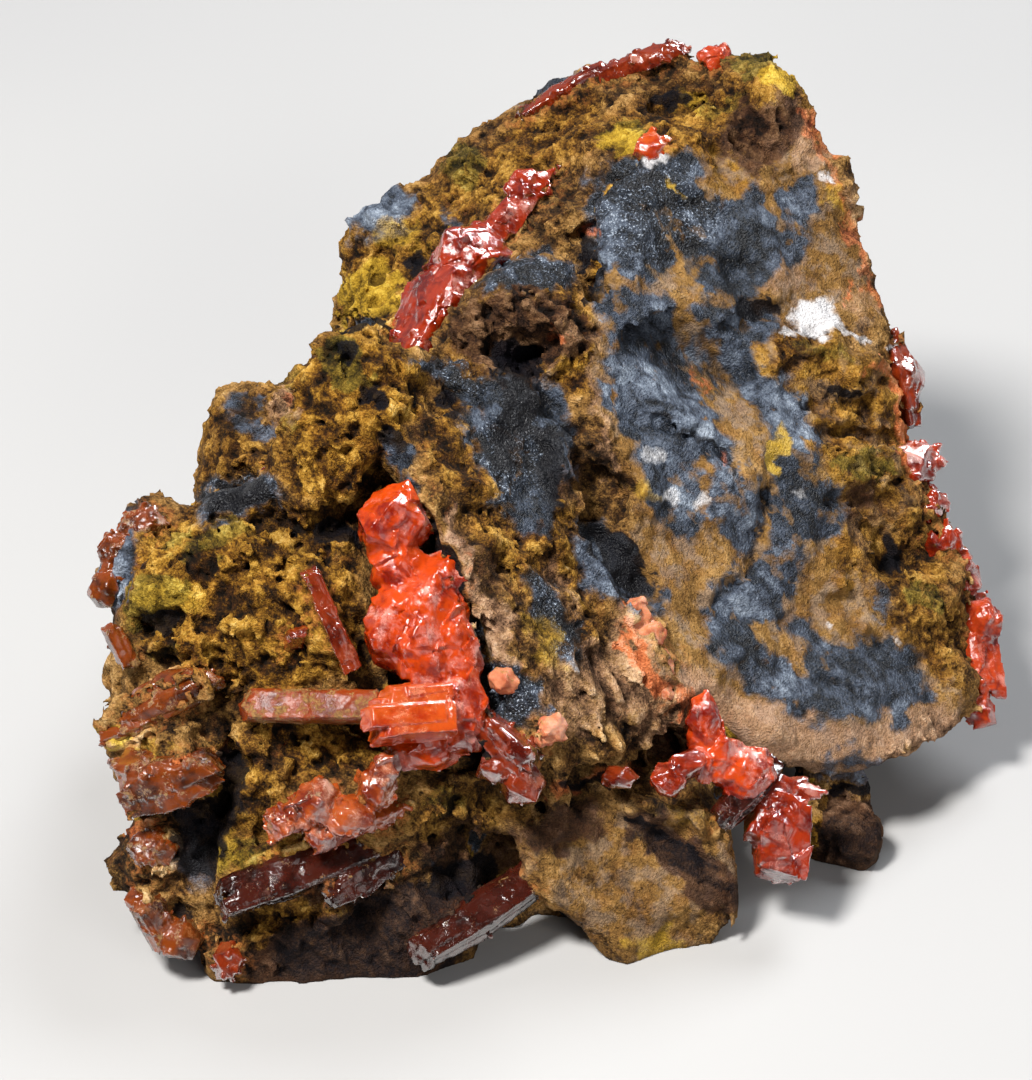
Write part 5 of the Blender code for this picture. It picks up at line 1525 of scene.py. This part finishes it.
# Crocoite: how it looks in a thick lump and on its frosted skin, which is partly painted sheen on faces
# turned up and to the right; how much light goes through; its gloss.
CROCOITE = {
    "bright": {"deep": (0.19, 0.006, 0.0005), "face": (0.54, 0.052, 0.003), "skin": (0.66, 0.33, 0.28),
               "skinned": 0.46, "clear": 0.2, "rough": 0.15, "glow": 0.26, "dust": 0.0, "crumbs": 0.9,
               "shine": 0.3},
    "orange": {"deep": (0.34, 0.022, 0.002), "face": (0.56, 0.082, 0.008), "skin": (0.66, 0.24, 0.12),
               "skinned": 0.3, "clear": 0.32, "rough": 0.16, "glow": 0.3, "dust": 0.0, "shine": 0.28},
    "amber": {"deep": (0.10, 0.010, 0.001), "face": (0.27, 0.040, 0.005), "skin": (0.30, 0.095, 0.03),
              "skinned": 0.3, "clear": 0.2, "rough": 0.3, "glow": 0.2, "dust": 0.75, "shine": 0.14},
    "garnet": {"deep": (0.08, 0.005, 0.001), "face": (0.26, 0.028, 0.004), "skin": (0.46, 0.14, 0.07),
               "skinned": 0.22, "clear": 0.4, "rough": 0.15, "glow": 0.14, "dust": 0.12, "shine": 0.28},
    "brown": {"deep": (0.045, 0.008, 0.001), "face": (0.20, 0.038, 0.004), "skin": (0.32, 0.13, 0.045),
              "skinned": 0.32, "clear": 0.25, "rough": 0.17, "glow": 0.15, "dust": 0.55, "shine": 0.26},
    "plum": {"deep": (0.012, 0.002, 0.001), "face": (0.050, 0.008, 0.004), "skin": (0.085, 0.028, 0.016),
             "skinned": 0.2, "clear": 0.25, "rough": 0.15, "glow": 0.1, "dust": 0.25, "shine": 0.2},
    "red": {"deep": (0.11, 0.004, 0.001), "face": (0.36, 0.028, 0.003), "skin": (0.54, 0.22, 0.17),
            "skinned": 0.34, "clear": 0.36, "rough": 0.16, "glow": 0.22, "dust": 0.1, "crumbs": 0.6,
            "shine": 0.3},
    "spangled": {"deep": (0.14, 0.012, 0.002), "face": (0.38, 0.07, 0.010), "skin": (0.60, 0.32, 0.22),
                 "skinned": 0.4, "clear": 0.2, "rough": 0.10, "glow": 0.2, "dust": 0.35, "crumbs": 0.9,
                 "shine": 0.7},
    "rose": {"deep": (0.15, 0.006, 0.001), "face": (0.42, 0.045, 0.008), "skin": (0.66, 0.27, 0.22),
             "skinned": 0.38, "clear": 0.2, "rough": 0.22, "glow": 0.35, "dust": 0.1, "crumbs": 0.9,
             "shine": 0.28},
    "crust": {"deep": (0.34, 0.07, 0.026), "face": (0.52, 0.19, 0.09), "skin": (0.62, 0.31, 0.20),
              "skinned": 0.6, "clear": 0.06, "rough": 0.5, "glow": 0.25, "dust": 0.5, "shine": 0.2},
}


def crocoite_material(name, look):
    g = Graph("crocoite_" + name)
    wide, middle, fine = g.noise(0.7, 2, 0.5), g.noise(2.4, 3, 0.6), g.noise(8.0, 3, 0.6)
    grit = g.noise(18.0, 2, 0.6)
    lit = g.add("ShaderNodeSeparateXYZ", {0: g.add("ShaderNodeNewGeometry").outputs["Normal"]}).outputs
    # Faces turned up lean towards the lighter face colour: painted light.
    depth = g.between(g.sum((wide, 0.8), (middle, 0.5), (fine, 0.1), (lit[2], 0.1)), 0.56, 0.88)
    color = g.mix(depth, (*look["deep"], 1), (*look["face"], 1))
    broad = g.noise(0.7, 3, 0.5, offset=(5, 9, 2))
    # The pale skin shows in patches of noise, and more on faces turned up and to the right: frosting, and
    # painted sheen where the lights would glance off.
    worn_and_sheen = g.between(g.sum((middle, 0.34), (broad, 1.06), (fine, 0.25), (grit, 0.15), (lit[0], 0.14),
                           (lit[2], 0.12)),
                     1.16 - 0.35 * look["skinned"], 1.46 - 0.35 * look["skinned"])
    color = g.mix(g.math("MULTIPLY", worn_and_sheen, 0.85), color, (*look["skin"], 1))
    dust = g.between(g.sum((g.noise(1.3, 3, 0.6, offset=(2, 6, 3)), 1.2), (fine, 0.45), (grit, 0.3)),
                     1.24 - 0.36 * look["dust"], 1.42 - 0.36 * look["dust"])
    dust = g.math("MULTIPLY", dust, min(1.0, 4 * look["dust"]))
    color = g.mix(g.math("MULTIPLY", dust, 0.9), color, g.ramp(fine, [
        (0.3, (0.07, 0.032, 0.008)), (0.7, (0.38, 0.22, 0.07))]))
    rough = g.sum((worn_and_sheen, 0.30), (fine, 0.12), (dust, 0.5))
    rough = g.math("ADD", rough, look["rough"] - 0.06, clamp=True)
    crumbs = look.get("crumbs", 0.0)
    normal = g.bump(g.sum((fine, 0.5), (grit, 0.3), (dust, 0.6), (g.cell(3.4), crumbs)), 0.4, 0.06)
    return g.done(Base_Color=color, Roughness=rough, Normal=normal, IOR=1.5,
                  Specular_IOR_Level=look["shine"], Transmission_Weight=look["clear"],
                  Subsurface_Weight=look["glow"], Subsurface_Scale=0.5 * MM,
                  Subsurface_Radius=(1.0, 0.25, 0.08))


def floor_material():
    g = Graph("studio_floor")
    tone = g.noise(0.02, 1, 0.5)
    color = g.ramp(tone, [(0.3, (0.36, 0.36, 0.365)), (0.7, (0.39, 0.39, 0.39))])
    return g.done(Base_Color=color, Roughness=0.8)


def crystal_pieces(blocks):
    """The crystal pieces as meshes, each in its finish."""
    finishes = {name: crocoite_material(name, look) for name, look in CROCOITE.items()}
    for name, block in blocks.items():
        node, finish, _, _ = CRYSTALS[name]
        points, faces = surface_of(block.values, block.low, block.step, width=0.45)
        points, faces = largest(points, faces[:, ::-1])
        points, faces = lightened(points, faces, int(len(faces) * CRYSTAL_SHARE))
        obj = new_mesh("crocoite_" + name, points, faces)
        obj.data.set_sharp_from_angle(angle=SHARP)
        obj.data.materials.append(finishes[finish])
        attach(obj, "root")
        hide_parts(node)


LIT = (0, 0, 0.012)  # where the lights are aimed at, in metres


def area_light(name, place, size, power, color):
    data = bpy.data.lights.new(name, "AREA")
    data.shape = "DISK"
    data.size = size
    data.energy = power
    data.color = color
    obj = bpy.data.objects.new(name, data)
    bpy.context.scene.collection.objects.link(obj)
    obj.location = place
    obj.rotation_euler = (Vector(LIT) - Vector(place)).to_track_quat("-Z", "Y").to_euler()


def studio():
    mesh = bpy.data.meshes.new("floor")
    bm = bmesh.new()
    bmesh.ops.create_grid(bm, x_segments=8, y_segments=8, size=1.5)
    bm.to_mesh(mesh)
    bm.free()
    floor = bpy.data.objects.new("floor", mesh)
    bpy.context.scene.collection.objects.link(floor)
    mesh.materials.append(floor_material())
    world = bpy.data.worlds.new("studio")
    bpy.context.scene.world = world
    world.use_nodes = True
    background = world.node_tree.nodes["Background"]
    background.inputs["Color"].default_value = (0.86, 0.90, 1.0, 1)
    background.inputs["Strength"].default_value = 0.10
    area_light("key", (-0.14, -0.12, 0.34), 0.09, 2.8, (1.0, 0.97, 0.93))
    area_light("fill", (0.22, -0.34, 0.20), 0.24, 0.65, (1.0, 0.98, 0.96))
    area_light("back", (0.12, 0.22, 0.30), 0.20, 1.1, (0.94, 0.97, 1.0))
    view = bpy.context.scene.view_settings
    view.view_transform = "Standard"
    view.exposure = 0.0


camera()
blocks = crystal_blocks()
surface = rock(blocks)
rock_finish = rock_material()
for piece in rock_pieces(*surface, rock_finish):
    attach(piece, "root")
    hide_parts("matrix")
crystal_pieces(blocks)
studio()
